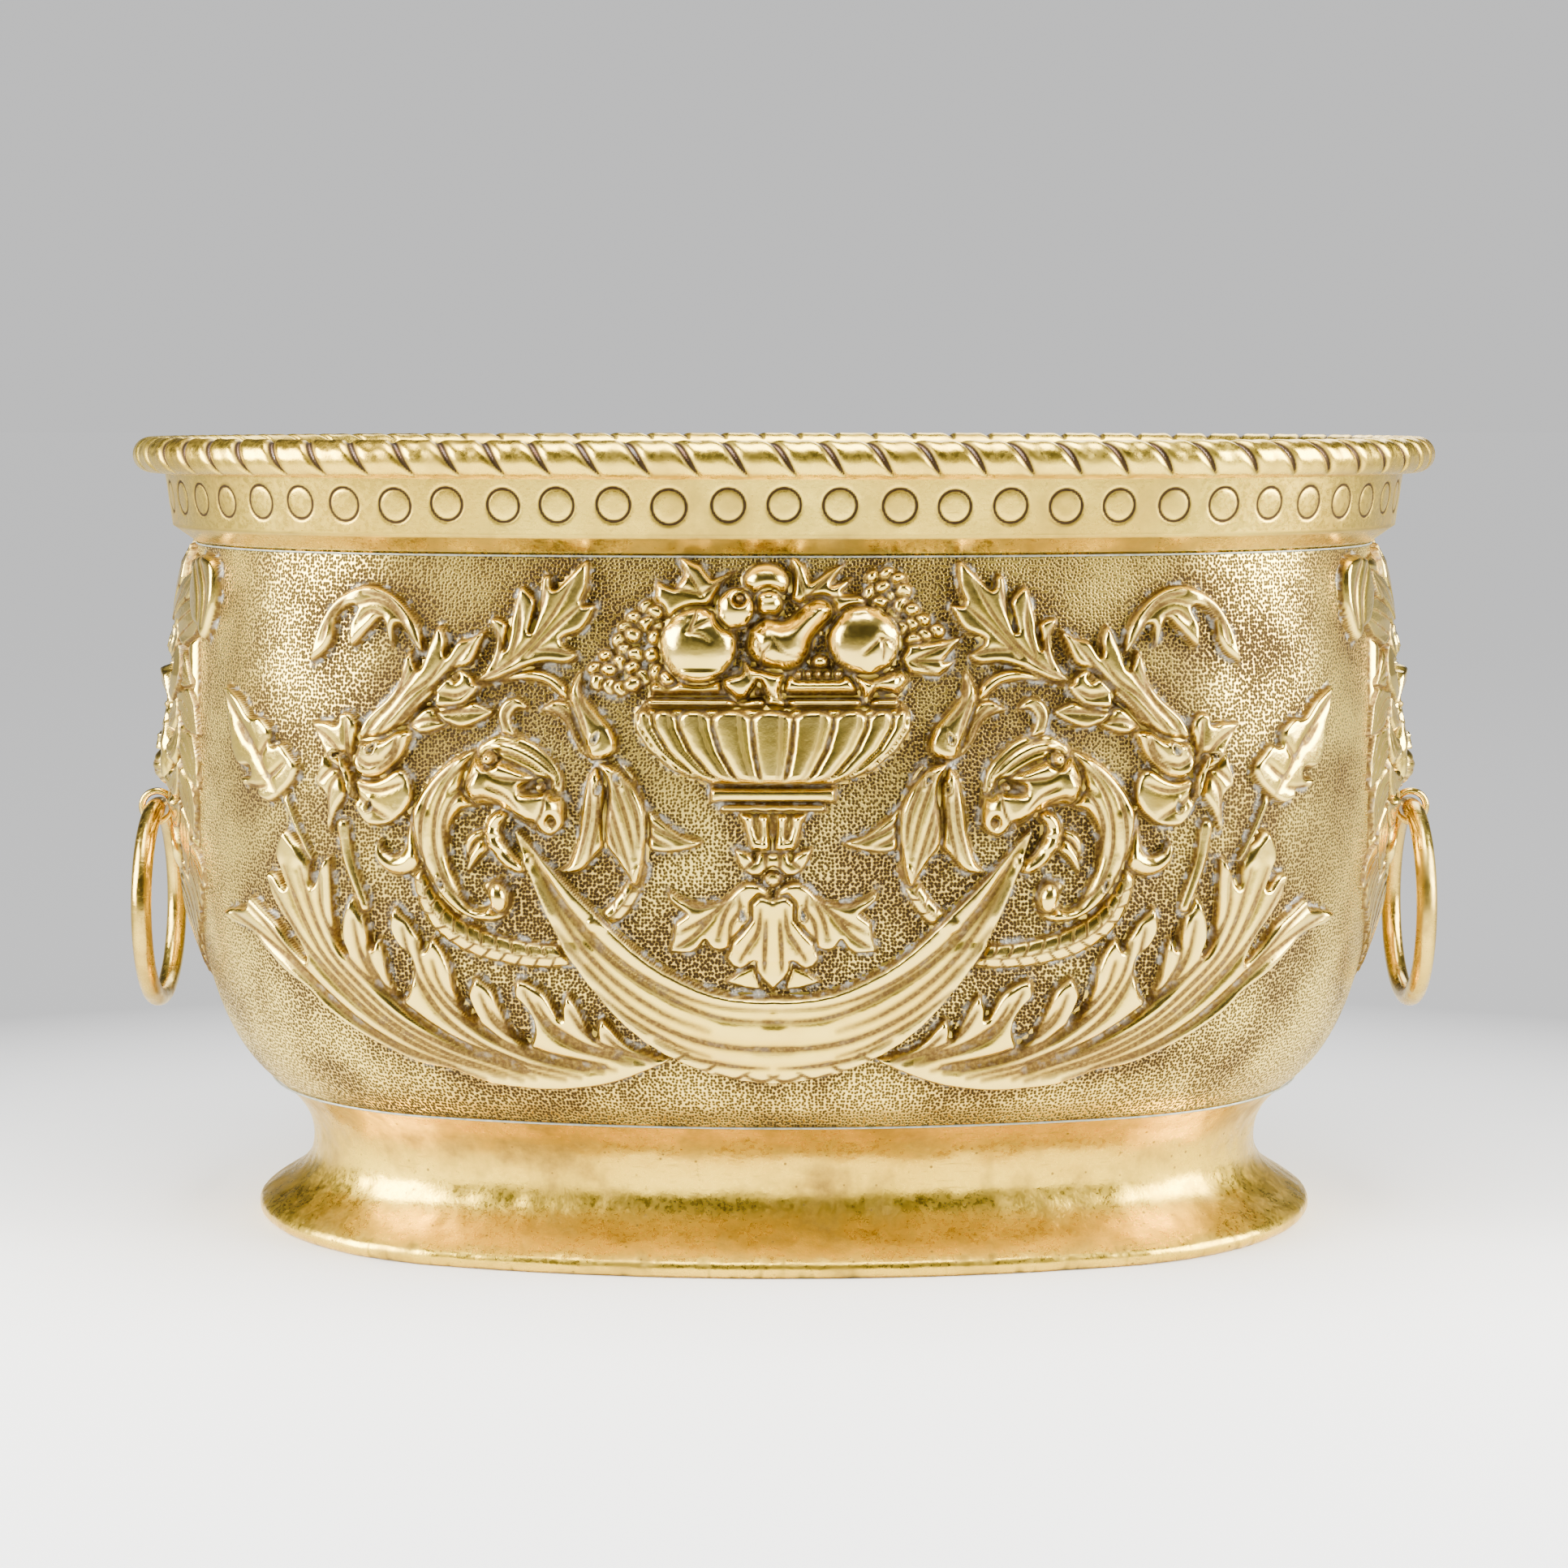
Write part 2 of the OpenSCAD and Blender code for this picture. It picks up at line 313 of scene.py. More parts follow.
def footed_bowl(relief):
    """The gadrooned bowl on its stem, in the middle of the side."""
    def gadroons(s, z, inside):
        half = np.interp(z, [190, 196, 204, 212, 220], [20, 33, 43, 48.5, 50])
        across = np.clip(s / half, -1, 1)
        lobe = np.degrees(np.arcsin(across)) / 17.5
        off = lobe - np.round(lobe)
        top = 218.8 - 14 * off ** 2
        body = 5.2 * np.sqrt(1 - 0.75 * across ** 2)
        in_lobe = np.clip((top - z) / 1.2, 0, 1) * np.clip((z - 192.6) / 2, 0, 1)
        swell = 2.4 * np.clip(1 - (2 * off) ** 2, 0, 1) ** 0.6 * in_lobe
        line = np.maximum(dip((np.abs(off) - 0.5) * half / 3.3, 0.95) * in_lobe,
                          dip(z - top, 0.9) * (np.abs(off) < 0.5))
        line = np.maximum(line, 0.45 * dip((off - 0.2) * half / 3.3, 1.0) * in_lobe)
        return body + swell - 0.7 * line, 0.95 * line * (np.abs(across) < 0.985)

    for side in (-1, 1):
        relief.patch([(side * d, z) for d, z in
                      [(0, 182), (13.5, 182), (11, 177), (9.2, 170), (8.5, 167), (0, 167)]], 5, 4, False)
    relief.patch([(-23, 184.8), (23, 184.8), (23, 191.4), (-23, 191.4)], 5.5, 1.8, False)
    relief.patch([(-20, 181.6), (20, 181.6), (18.5, 184.4), (-18.5, 184.4)], 4, 1.2, False)
    for d in (-5.6, 0, 5.6):
        relief.ribbon([(d * 1.15, 181), (d * 0.9, 172.5)], [0.5, 1.1, 0.5], 1.0)
    left = [(22, 191.5), (36, 196.5), (45, 204), (49.5, 211), (50, 217), (46.5, 221.5)]
    outline = [(-d, z) for d, z in left] + [(d, z) for d, z in left[::-1]]
    relief.patch(outline, 3.2, 2.5, False, gadroons)
    relief.patch([(-45.5, 219.6), (45.5, 219.6), (45.5, 223), (-45.5, 223)], 7.4, 1.6, False)
    relief.patch([(-45, 223), (45, 223), (45, 233), (-45, 233)], 5.8, 2.0, False,
                 lambda s, z, inside: (-2.0 * dip(z - 224.6, 1.2), 0.85 * dip(z - 224.6, 1.0)))


def pendant(relief):
    """The trefoil, ring and shell-shaped leaf that hang from the bowl's stem."""
    def straight(points):
        return points

    def both(half):
        return half + [(-d, z) for d, z in half[::-1]]

    for side in (-1, 1):
        relief.patch([(side * d, z) for d, z in [(7, 125), (13, 122), (18, 118), (10, 115.5), (4, 115)]], 1.8, 1.5,
                     False)
    mass(relief, straight, both([(0, 149), (2, 153), (4, 155), (7, 156), (10, 156), (13, 154), (16, 151), (19, 149),
                                 (24, 148), (29, 148.5), (34, 150), (38.5, 153.5), (38, 149), (36, 147), (32, 144),
                                 (36, 141), (37, 135), (38.5, 129.5), (34, 129), (30, 129), (27, 131), (25, 134),
                                 (23, 131), (20, 130), (14, 131), (9, 126), (0, 126)]), 3.8, curve=False)
    mass(relief, straight, both([(0, 150), (5, 151), (8, 148), (8, 142), (12, 137), (15, 134), (17.5, 127),
                                 (15, 124), (12, 123), (10, 124), (7, 126), (6, 122), (4, 119), (2, 117),
                                 (0, 114.5)]), 2.8, curve=False)
    for side in (-1, 1):
        for line in ([(20, 136), (18, 143), (15, 149)], [(16, 135), (15, 141), (12, 146), (12.5, 151)],
                     [(33, 138), (27, 141), (21, 145), (15, 151)], [(35, 132), (29, 136), (22, 143)],
                     [(12, 127), (9, 132), (5.5, 138), (4.5, 146)], [(3.2, 123), (3, 131), (2.4, 142)],
                     [(35, 151), (28, 147), (20, 147.5)]):
            relief_line(relief, [(side * d, z) for d, z in line], 0.9, 0.9)
        drop_eye(relief, lambda points: [(side * d, z) for d, z in points], 11, 144, 100 if side < 0 else 80, 2.6)
    mass(relief, straight, both([(0, 173), (3, 171), (5, 169), (6.5, 164), (8, 167), (11, 168), (14.5, 168.5),
                                 (13, 163), (11, 160), (8, 158), (4, 158), (2, 160), (0, 161)]), 3.6,
         [[(-10, 161), (-6.5, 164)], [(10, 161), (6.5, 164)], [(-2.5, 161), (-2.5, 166), (-1, 170)],
          [(2.5, 161), (2.5, 166), (1, 170)]], curve=False)
    relief.dome(0, 157, 3.4, 3.4, 2.6, ring=0.62)


def relief_line(relief, points, width=0.85, depth=0.7, dark=1.0):
    """A chased line with a soft hollow round it, tapering at its ends."""
    path = smooth_through(np.asarray(points, float) + [relief.shift, 0], 24)
    at, s, z = relief.window(path, 3 * width + 1)
    near = np.full(s.shape, 1e9)
    t = np.zeros(s.shape)
    for i, (p, q) in enumerate(zip(path[:-1], path[1:])):
        v = q - p
        along = np.clip(((s - p[0]) * v[0] + (z - p[1]) * v[1]) / (v @ v), 0, 1)
        d = np.hypot(s - p[0] - along * v[0], z - p[1] - along * v[1])
        t = np.where(d < near, (i + along) / (len(path) - 1), t)
        near = np.minimum(near, d)
    fade = np.sin(np.pi * np.clip(0.12 + 0.8 * t, 0, 1)) ** 0.5
    relief.height[at] -= depth * fade * dip(near, 1.9 * width)
    relief.cut[at] = np.maximum(relief.cut[at], dark * fade * dip(near, width))


def mass(relief, out, outline, rise, lines=(), drops=(), bevel=1.9, curve=True):
    """A leafy shape with its veins, and the teardrop eyes drilled between its lobes."""
    relief.patch(out(outline), rise, bevel, curve)
    for line in lines:
        relief_line(relief, out(line))
    for d, z, turn in drops:
        drop_eye(relief, out, d, z, turn)


def drop_eye(relief, out, d, z, turn, length=2.6):
    """A teardrop hole with a raised rim, which holds dried polish."""
    s = out([(d, z)])[0][0]
    at, gs, gz = relief.window([[s + relief.shift, z]], length + 2)
    a = math.radians(turn if s < 0 else 180 - turn)
    ds, dz = gs - s - relief.shift, gz - z
    along, across = ds * math.cos(a) + dz * math.sin(a), -ds * math.sin(a) + dz * math.cos(a)
    wide = 0.62 * length * np.clip(0.75 - 0.35 * along / length, 0.2, 1)
    q = np.hypot(along / length, across / wide)
    relief.height[at] += 0.7 * dip((q - 1.15) * 2, 0.6) - 1.3 * np.clip(1.15 - q, 0, 1)
    relief.cut[at] = np.maximum(relief.cut[at], 0.75 * dip((q - 1.0) * 1.6, 0.35))
    relief.polished[at] *= np.clip((q - 0.7) * 3, 0, 1)


def vine_leaf(relief, outline, centre, tips, rise):
    """A pointed leaf with a vein to each tip."""
    relief.patch(outline, rise, 3.2, False)
    centre = np.array(centre, float)
    for tip in tips:
        way = np.array(tip, float) - centre
        relief_line(relief, [centre, centre + 0.5 * way, centre + 0.85 * way], 0.6, 0.6, 0.9)


def bunch(relief, spots, r=3.3):
    """Grapes, each a low round swelling."""
    for n, (d, z) in enumerate(spots):
        relief.dome(d, z, r, r, 3.4 + 1.2 * (n * 0.618 % 1))


def apple(relief, d, z, r, rise, hollow_turn):
    """A round fruit with a stalk hollow and a chased leaf by it."""
    relief.dome(d, z, r, r * 0.97, rise, power=0.42)
    a = math.radians(hollow_turn)
    hd, hz = d + 0.42 * r * math.cos(a), z + 0.42 * r * math.sin(a)
    for bend in (-2.6, -1.7, -0.9):
        tip = (hd + 0.62 * r * math.cos(a + bend), hz + 0.62 * r * math.sin(a + bend))
        relief_line(relief, [(hd, hz), ((hd + tip[0]) / 2 + 0.9, (hz + tip[1]) / 2 + 0.6), tip], 0.5, 0.7)
    relief_line(relief, [(d - r * 0.86, z + r * 0.1), (d - r * 0.66, z - r * 0.55), (d - r * 0.2, z - r * 0.86)],
                0.45, 0.4, 0.7)


def fruit(relief):
    """The heap of fruit and vine leaves in the bowl."""
    vine_leaf(relief, [(-35, 274.5), (-26, 271), (-22, 266), (-13, 269), (-18, 264), (-21, 258), (-26, 252),
                       (-38, 250), (-44, 257), (-43, 265.5), (-36, 263), (-33, 267)], (-26, 260),
              [(-34, 273), (-14, 268), (-42, 264)], 4.2)
    vine_leaf(relief, [(6, 275.5), (12, 271), (14, 265), (20, 269), (27, 272), (22, 264), (29, 266), (26, 261),
                       (35, 260), (36, 253), (22, 252), (12, 254), (6, 258), (7, 266)], (12, 259),
              [(7, 273), (25, 270), (34, 259)], 4.2)
    bunch(relief, [(-46, 255), (-51, 251), (-43, 253), (-54, 247), (-56, 243), (-46, 249), (-51, 245), (-41, 247),
                   (-43, 244), (-61, 237), (-54, 239), (-65, 232.5), (-56, 235), (-50, 238), (-60, 232),
                   (-44, 238), (-51, 233), (-64, 228), (-47, 230), (-59, 226.5), (-55, 226), (-51, 227.5),
                   (-42, 232), (-38, 230)])
    bunch(relief, [(37, 266), (42, 267), (36, 260.5), (46, 265), (40.5, 262), (44, 258.5), (39, 256.5), (48, 261),
                   (44, 253), (47, 256), (51, 254), (55, 250), (50, 248.5), (46, 247.5), (60, 246.5), (55, 244.5),
                   (51, 243)])
    vine_leaf(relief, [(49, 242), (60, 243.5), (70, 245), (63, 236), (67.5, 236), (61, 230), (49, 231), (46, 237)],
              (50, 236), [(69, 244), (66, 236), (60, 231)], 4.0)
    relief.dome(-2.5, 264.5, 8.8, 7.0, 8.4, power=0.42)
    relief.dome(-1.5, 256.5, 5.6, 5.2, 6.4)
    apple(relief, -27, 241.5, 14.2, 9.6, 125)
    apple(relief, 33, 243, 13.4, 9.6, 15)
    relief.patch([(-9.5, 248), (-10, 240), (-6, 234.5), (1, 231.5), (9, 232.5), (13.5, 238), (15, 243), (18, 247),
                  (22.5, 252), (21, 257.5), (16, 259), (10, 256), (4, 251.5), (-3, 252)], 9.2, 8.5, True)
    for tip in ((-6, 243), (-1, 242), (-4.5, 235)):
        relief_line(relief, [(-4, 238.5), ((tip[0] - 4) / 2, (tip[1] + 238.5) / 2), tip], 0.5, 0.7)
    relief_line(relief, [(-1, 246), (4, 239), (11, 237)], 0.45, 0.4, 0.6)
    relief.dome(-13.5, 255, 7.2, 7.8, 7.6, power=0.42)
    relief.dome(-12, 258.5, 1.3, 1.3, 7.9, ring=0.6)
    relief.dome(17, 235.5, 3.6, 3.4, 5.2, ring=0.62)
    for d in (9.5, 13, 16.5, 20, 23.5):
        relief.dome(d, 231.4, 1.8, 1.6, 5.6, ring=0.55)
    vine_leaf(relief, [(-11, 237.5), (-7, 234), (5, 231.5), (3, 225), (6, 218.5), (-2, 220), (-5, 228), (-9, 222),
                       (-13, 221), (-18, 226), (-19, 230), (-12, 232)], (-8, 230), [(-11, 236), (4, 220)], 6.4)
    vine_leaf(relief, [(28, 231.5), (35, 230), (47, 233.5), (50, 229), (46, 223.5), (38, 225), (33, 219), (31, 226)],
              (37, 228), [(46, 232), (34, 221), (30, 231)], 6.4)


def swag(relief):
    """The gathered cloth that hangs between the two serpents' mouths."""
    left = [(94, 173), (82, 153), (66, 131), (52, 116), (38, 106), (22, 99), (0, 96)]
    path = [(-d, z) for d, z in left] + [(d, z) for d, z in left[-2::-1]]
    half = [1.2, 5.5, 9.5, 12, 14.5, 15.8, 17.0]
    relief.ribbon(path, half + half[-2::-1], [2.5, 5.5, 6, 6, 5.5, 6, 6, 5.5, 2.5], flat=0.8)
    for side in (-1, 1):
        for line, width in (
                ([(92, 170), (80, 152), (63, 133), (44, 119), (22, 110.5), (0, 108.5)], 0.9),
                ([(90, 167), (77, 146), (60, 127), (40, 114), (20, 106), (-2, 104)], 1.2),
                ([(85, 155), (72, 134), (58, 119), (40, 107), (24, 101)], 1.5),
                ([(80, 138), (66, 121), (50, 107), (30, 97.5), (10, 94), (-6, 93.5)], 1.5),
                ([(66, 115), (52, 104), (36, 95), (24, 91)], 1.1),
                ([(44, 97), (30, 90), (14, 87), (2, 86.5)], 1.0)):
            relief_line(relief, [(side * d, z) for d, z in line], width, 1.3, 0.75)
        for d, z in ((38, 90), (27, 86), (15, 83), (4, 82)):
            relief_line(relief, [(side * (d + 7), z + 1.5), (side * d, z - 0.6), (side * (d - 6), z + 1.8)], 0.7, 0.5)


def serpent(relief, out, side):
    """A lion-headed serpent with a scaled tail, biting the swag."""
    r = relief
    r.ribbon(out([(131, 166), (130, 152), (124, 140), (113, 132.5), (99, 128.5), (84, 127), (70, 129)]),
             [3.4, 4.6, 5.4, 5.6, 5.2, 4.8, 4.2], 4.2, scales=6.2)
    # the outer lock of the mane, which ends in a hook
    r.ribbon(out([(131, 178), (132, 168), (136, 161), (142, 159.5), (147, 163), (147.5, 169)]),
             [4.5, 5, 4.6, 4.4, 3.2, 0.3], 4.6, flutes=1)
    mass(r, out, [(108, 204), (119, 199.5), (128, 191), (134, 180), (132.5, 167), (127.5, 154), (122, 146),
                  (114, 140.5), (104, 139), (98, 143), (96.5, 150), (100, 156), (104, 155.5), (107.5, 152.5),
                  (105, 147), (109, 144.5), (113, 147), (117.5, 155), (120, 164), (119, 174), (115, 180),
                  (108, 183), (104, 190)], 5.4,
         [[(111, 199), (119, 191), (124, 179), (124.5, 166), (120.5, 154), (112, 144.5)],
          [(117, 197.5), (126, 187), (129.5, 175), (129, 162), (123.5, 151)],
          [(108, 190), (116, 186), (121, 176), (121, 164)]], [(122.5, 153, -70)], 3.4)
    r.dome(out([(101, 149)])[0][0], 149, 4.3, 6.2, 6.2, turn=-12 * side)
    # lower jaw and the tufts of beard under it
    for tuft in ([(101, 172), (107, 171.5), (111, 169.5), (113.5, 163)],
                 [(100, 168.5), (106, 168), (110, 164), (113, 157.5)]):
        r.ribbon(out(tuft), [2.4, 3.0, 2.4, 0.3], 4.4, flutes=1)
    r.ribbon(out([(98, 181), (102.5, 176), (102, 170), (98, 163.5), (92.5, 160.5), (89.5, 163.5)]),
             [2.2, 3.4, 3.6, 3.6, 3.4, 2.0], 5.4, flutes=1)
    # the head
    mass(r, out, [(108, 204), (102, 208.5), (96, 209), (87, 205.5), (80, 200), (77, 194), (76.5, 188), (75.5, 182),
                  (76, 176), (79, 173), (82, 171.5), (87, 173.5), (91, 175.5), (95, 178), (98, 181), (104, 182.5),
                  (110, 183), (114, 189), (112, 197)], 8.0, bevel=6.5)
    r.ribbon(out([(106, 203), (98, 204.5), (89, 201), (81.5, 195), (78.5, 189)]), [3.0, 5.6, 5.6, 4.4, 2.2], 2.2,
             flutes=3, groove=0.5)
    for line in ([(105, 196.5), (100, 193.5), (93, 192.8), (87, 192), (80, 188.5)],
                 [(82, 188), (83.5, 181), (87, 175.5)], [(82.5, 188.2), (77, 187.6)],
                 [(96, 180.5), (91, 178), (86, 174.8)], [(103, 190), (97, 187), (92, 182)],
                 [(107, 195), (112, 191), (118, 187)], [(112, 184), (106, 186), (100, 184)]):
        relief_line(r, out(line), 0.6, 0.9)
    r.dome(out([(86, 190.2)])[0][0], 190.2, 4.4, 1.8, 0.6, turn=-14 * side, ring=0.9)
    r.dome(out([(84.6, 190)])[0][0], 190, 1.5, 1.5, 7.2, ring=0.7)
    r.dome(out([(103.6, 200)])[0][0], 200, 2.6, 2.6, 8.6, ring=0.85)
    for d, z in ((80.6, 177), (88, 175.2)):
        r.dome(out([(d, z)])[0][0], z, 0.9, 1.2, 4.2, ring=0.5)
    # the hook of its crest
    mass(r, out, [(100, 209), (101.5, 216), (98.5, 221.5), (93, 222.5), (89.5, 218), (94, 217.5), (96, 214),
                  (94, 208)], 3.6, [[(97.5, 211), (98.5, 216), (95.5, 219.8)]])


def hanging_husk(relief, out, side):
    """The bud on a stalk with three leaves that hang from it."""
    r = relief
    r.ribbon(out([(48, 160), (53, 150), (59, 143), (67, 139)]), [2.6, 3.4, 3.6, 2.6], 3.4, scales=6)
    r.ribbon(out([(111, 226.5), (98, 230.5), (85, 230), (78, 226), (73, 219)]), [1.6, 2.4, 2.6, 2.6, 2.2], 3.6,
             flutes=1)
    mass(r, out, [(86, 218), (80, 221.5), (74, 220.5), (69.5, 216), (68.5, 208), (67, 200), (72.5, 206), (77, 214)],
         4.2, [[(82, 219), (75, 214), (69.5, 204)], [(78, 219.5), (73, 214.5), (69.5, 208)]])
    mass(r, out, [(74.5, 221), (74.5, 226), (70, 232.5), (69, 225), (64, 218.5), (58.5, 212.5), (56, 206),
                  (58.5, 201), (66, 199.5), (69, 206), (71.5, 214)], 5.0,
         [[(71, 229), (69, 220), (63, 213)], [(72, 222), (69, 214), (67, 208)]], [(64.3, 208, 65)], 3.4)
    mass(r, out, [(64, 199), (68, 193), (70, 183), (71.5, 172), (75, 162), (79, 158.5), (70.5, 158.5), (64, 165),
                  (60, 170), (61, 178), (60, 188)], 4.6,
         [[(66, 192), (67, 178), (71, 163)], [(63, 188), (64, 176), (67, 163)]], [(63.3, 190, 85)], 3)
    mass(r, out, [(56, 200), (51, 196), (46, 184), (40, 178.5), (33, 173.5), (25.5, 170.5), (31, 167.5), (41, 166.5),
                  (46.5, 169), (48, 178), (52, 190)], 4.4,
         [[(51, 192), (45, 178), (30, 170)], [(49, 184), (44, 173), (37, 169)]])
    mass(r, out, [(64.5, 199.5), (60.5, 190), (61.5, 178), (61, 169), (57, 163), (50, 153.5), (46.5, 162), (45.5, 175),
                  (46.5, 184), (50, 191), (57, 198)], 5.6,
         [[(61, 194), (57, 178), (51, 158)], [(58, 195), (53, 180), (50, 166)], [(60, 186), (59, 175), (56, 166)],
          [(54, 193), (49.5, 182), (48, 170)]], [(56, 193, -60)], 3)


def upper_sprays(relief, out, side):
    """Leaves above the serpent: two sprays on one stalk, and a curled leaf over them."""
    r = relief
    mass(r, out, [(179, 232), (176, 244), (169.5, 255), (160, 261), (151, 262.5), (142, 259), (135, 252.5),
                  (131, 245), (130.5, 237), (136, 243), (141, 248), (143, 239), (147, 249.5), (151, 246.5),
                  (159.5, 239), (161, 247), (158, 253.5), (162.5, 253.5), (167, 249.5), (168, 242), (172, 236)], 4.4,
         [[(157, 255), (149, 256.5), (141, 252.5), (134, 243)], [(154, 259.5), (145, 257.5), (137, 250)],
          [(156, 249), (151, 252.5), (145, 251)], [(172, 241), (169, 250), (162, 257)]], bevel=2.2)
    # the spray that leans out over the flower
    mass(r, out, [(139, 210), (131, 217.5), (124, 217.5), (119.5, 213), (124, 209.5), (131, 208)], 4.0,
         [[(136, 210.5), (129, 213.5), (122, 213)]])
    mass(r, out, [(125, 216), (117, 220.5), (110, 220.5), (102.5, 217), (108, 212.5), (115, 210.5), (121, 212.5)],
         4.0, [[(122, 216), (113, 217), (105, 217)]])
    mass(r, out, [(157, 203), (153, 213), (144, 221.5), (139.5, 228), (138.5, 233), (135.5, 239), (132, 232),
                  (130, 236), (128.5, 240.5), (124, 248.5), (121, 243), (121, 237), (117, 242.5), (112, 244),
                  (106, 246.5), (108, 240), (111, 234), (116.5, 230), (121.5, 225), (126.5, 221), (131, 217),
                  (139, 209), (145, 205.5), (150, 201)], 5.0,
         [[(154, 204), (145, 216), (135, 227), (125, 244)], [(147, 208), (136, 221), (127, 228), (121, 236)],
          [(143, 208), (131, 221), (122, 229), (110, 243)], [(149, 212), (141, 220), (135, 234)],
          [(139, 212), (130, 219), (120, 227)]], bevel=2.2)
    mass(r, out, [(125, 224.5), (117.5, 231.5), (113, 231.5), (108, 226), (112, 220.5), (117, 218.5), (125, 218)],
         4.6, [[(122, 223), (116, 222.5), (111, 225)]])
    r.dome(out([(117.6, 229.4)])[0][0], 229.4, 1.0, 1.0, 4.0, ring=0.6)
    mass(r, out, [(155.5, 205), (158, 197), (154.5, 191.5), (147, 191.5), (140, 196.5), (135, 203.5), (133.5, 209),
                  (139, 210), (146, 206.5)], 5.8,
         [[(151, 206), (154.5, 200), (150, 196.5), (144, 198)], [(146, 195), (141, 199), (137.5, 206)],
          [(143.5, 199), (140.5, 202), (139, 207)]], [(148.5, 202.5, 60)], 3.6)
    # the spray that leans in towards the bowl
    mass(r, out, [(110, 227.5), (104.5, 235), (102.5, 243), (105, 250.5), (100, 251), (97, 247.5), (98.5, 240),
                  (97, 249), (93.5, 262.5), (88.5, 260), (86.5, 255), (89, 246), (86.5, 256), (85, 266), (81.5, 266.5),
                  (80, 262), (68.5, 272.5), (67.5, 263), (69.5, 256.5), (64.5, 256), (69, 247), (77, 243),
                  (71, 238), (75, 234.5), (84, 234.5), (94, 231.5), (103, 227.5)], 5.0,
         [[(108, 227.5), (94, 236.5), (82, 250), (73, 265)], [(96, 237), (93, 247), (93, 258)],
          [(102, 233), (100, 241), (102, 248)], [(88, 247), (84.5, 256), (83, 264)],
          [(86, 239.5), (79, 239.5), (73, 238)], [(90, 237), (80, 247), (70, 256)]], bevel=2.2)


def flower(relief, out, side):
    """The open flower with drilled petals, on its stalk."""
    r = relief
    r.ribbon(out([(163, 173), (161, 160), (155, 143)]), [3.0, 2.8, 2.4], 3.2, flutes=1)
    mass(r, out, [(170, 204), (173, 195), (174.5, 188), (170, 184), (169.5, 170), (165, 178), (160, 188)], 3.8,
         [[(162, 194), (167, 187), (168, 176)], [(164, 196), (169, 192), (172, 189)]])
    mass(r, out, [(155, 192), (149, 191), (143, 194.5), (137, 195), (134, 189), (134, 182), (139, 177), (144, 174),
                  (152, 174), (157, 180), (160, 188)], 4.2,
         [[(156, 189), (147, 187), (137, 190)], [(157, 187), (150, 181), (143, 177)]], [(150.5, 181.5, 80)])
    mass(r, out, [(177.5, 211.5), (169, 212), (164.5, 211), (164, 214.5), (159, 215.5), (155.5, 210), (157, 203),
                  (159, 194), (165, 195), (171, 202)], 4.4,
         [[(175, 210), (166, 204), (160, 196)], [(160, 212), (159.5, 204), (160, 196)]], [(165, 199.5, 20)])
    r.ribbon(out([(162, 199), (159.5, 191), (157, 184)]), [1.0, 2.2, 0.6], 5.0, flutes=1)


def side_leaf(relief, out, side):
    """The single lobed leaf near the end of the pot."""
    relief.ribbon(out([(190, 182), (185, 172), (178, 160)]), [2.0, 1.6, 1.2], 2.4)
    mass(relief, out, [(229, 223), (217, 218), (209, 211.5), (203, 211.5), (197, 207), (196, 201.5), (191, 202.5),
                       (187, 199), (182.5, 194), (185, 188), (190, 183.5), (197, 179.5), (203.5, 181), (205, 184),
                       (212, 184.5), (215, 188), (208.5, 189), (209, 192), (215.5, 192), (220.5, 198),
                       (222.5, 206), (226, 214)], 3.8,
         [[(226, 219), (208, 203), (193, 184)], [(216, 208), (211, 203), (208, 201)],
          [(198, 203), (200.5, 199), (203, 196)], [(189, 195), (194, 191), (198, 189)],
          [(209, 185.5), (203, 185), (198, 186)]])


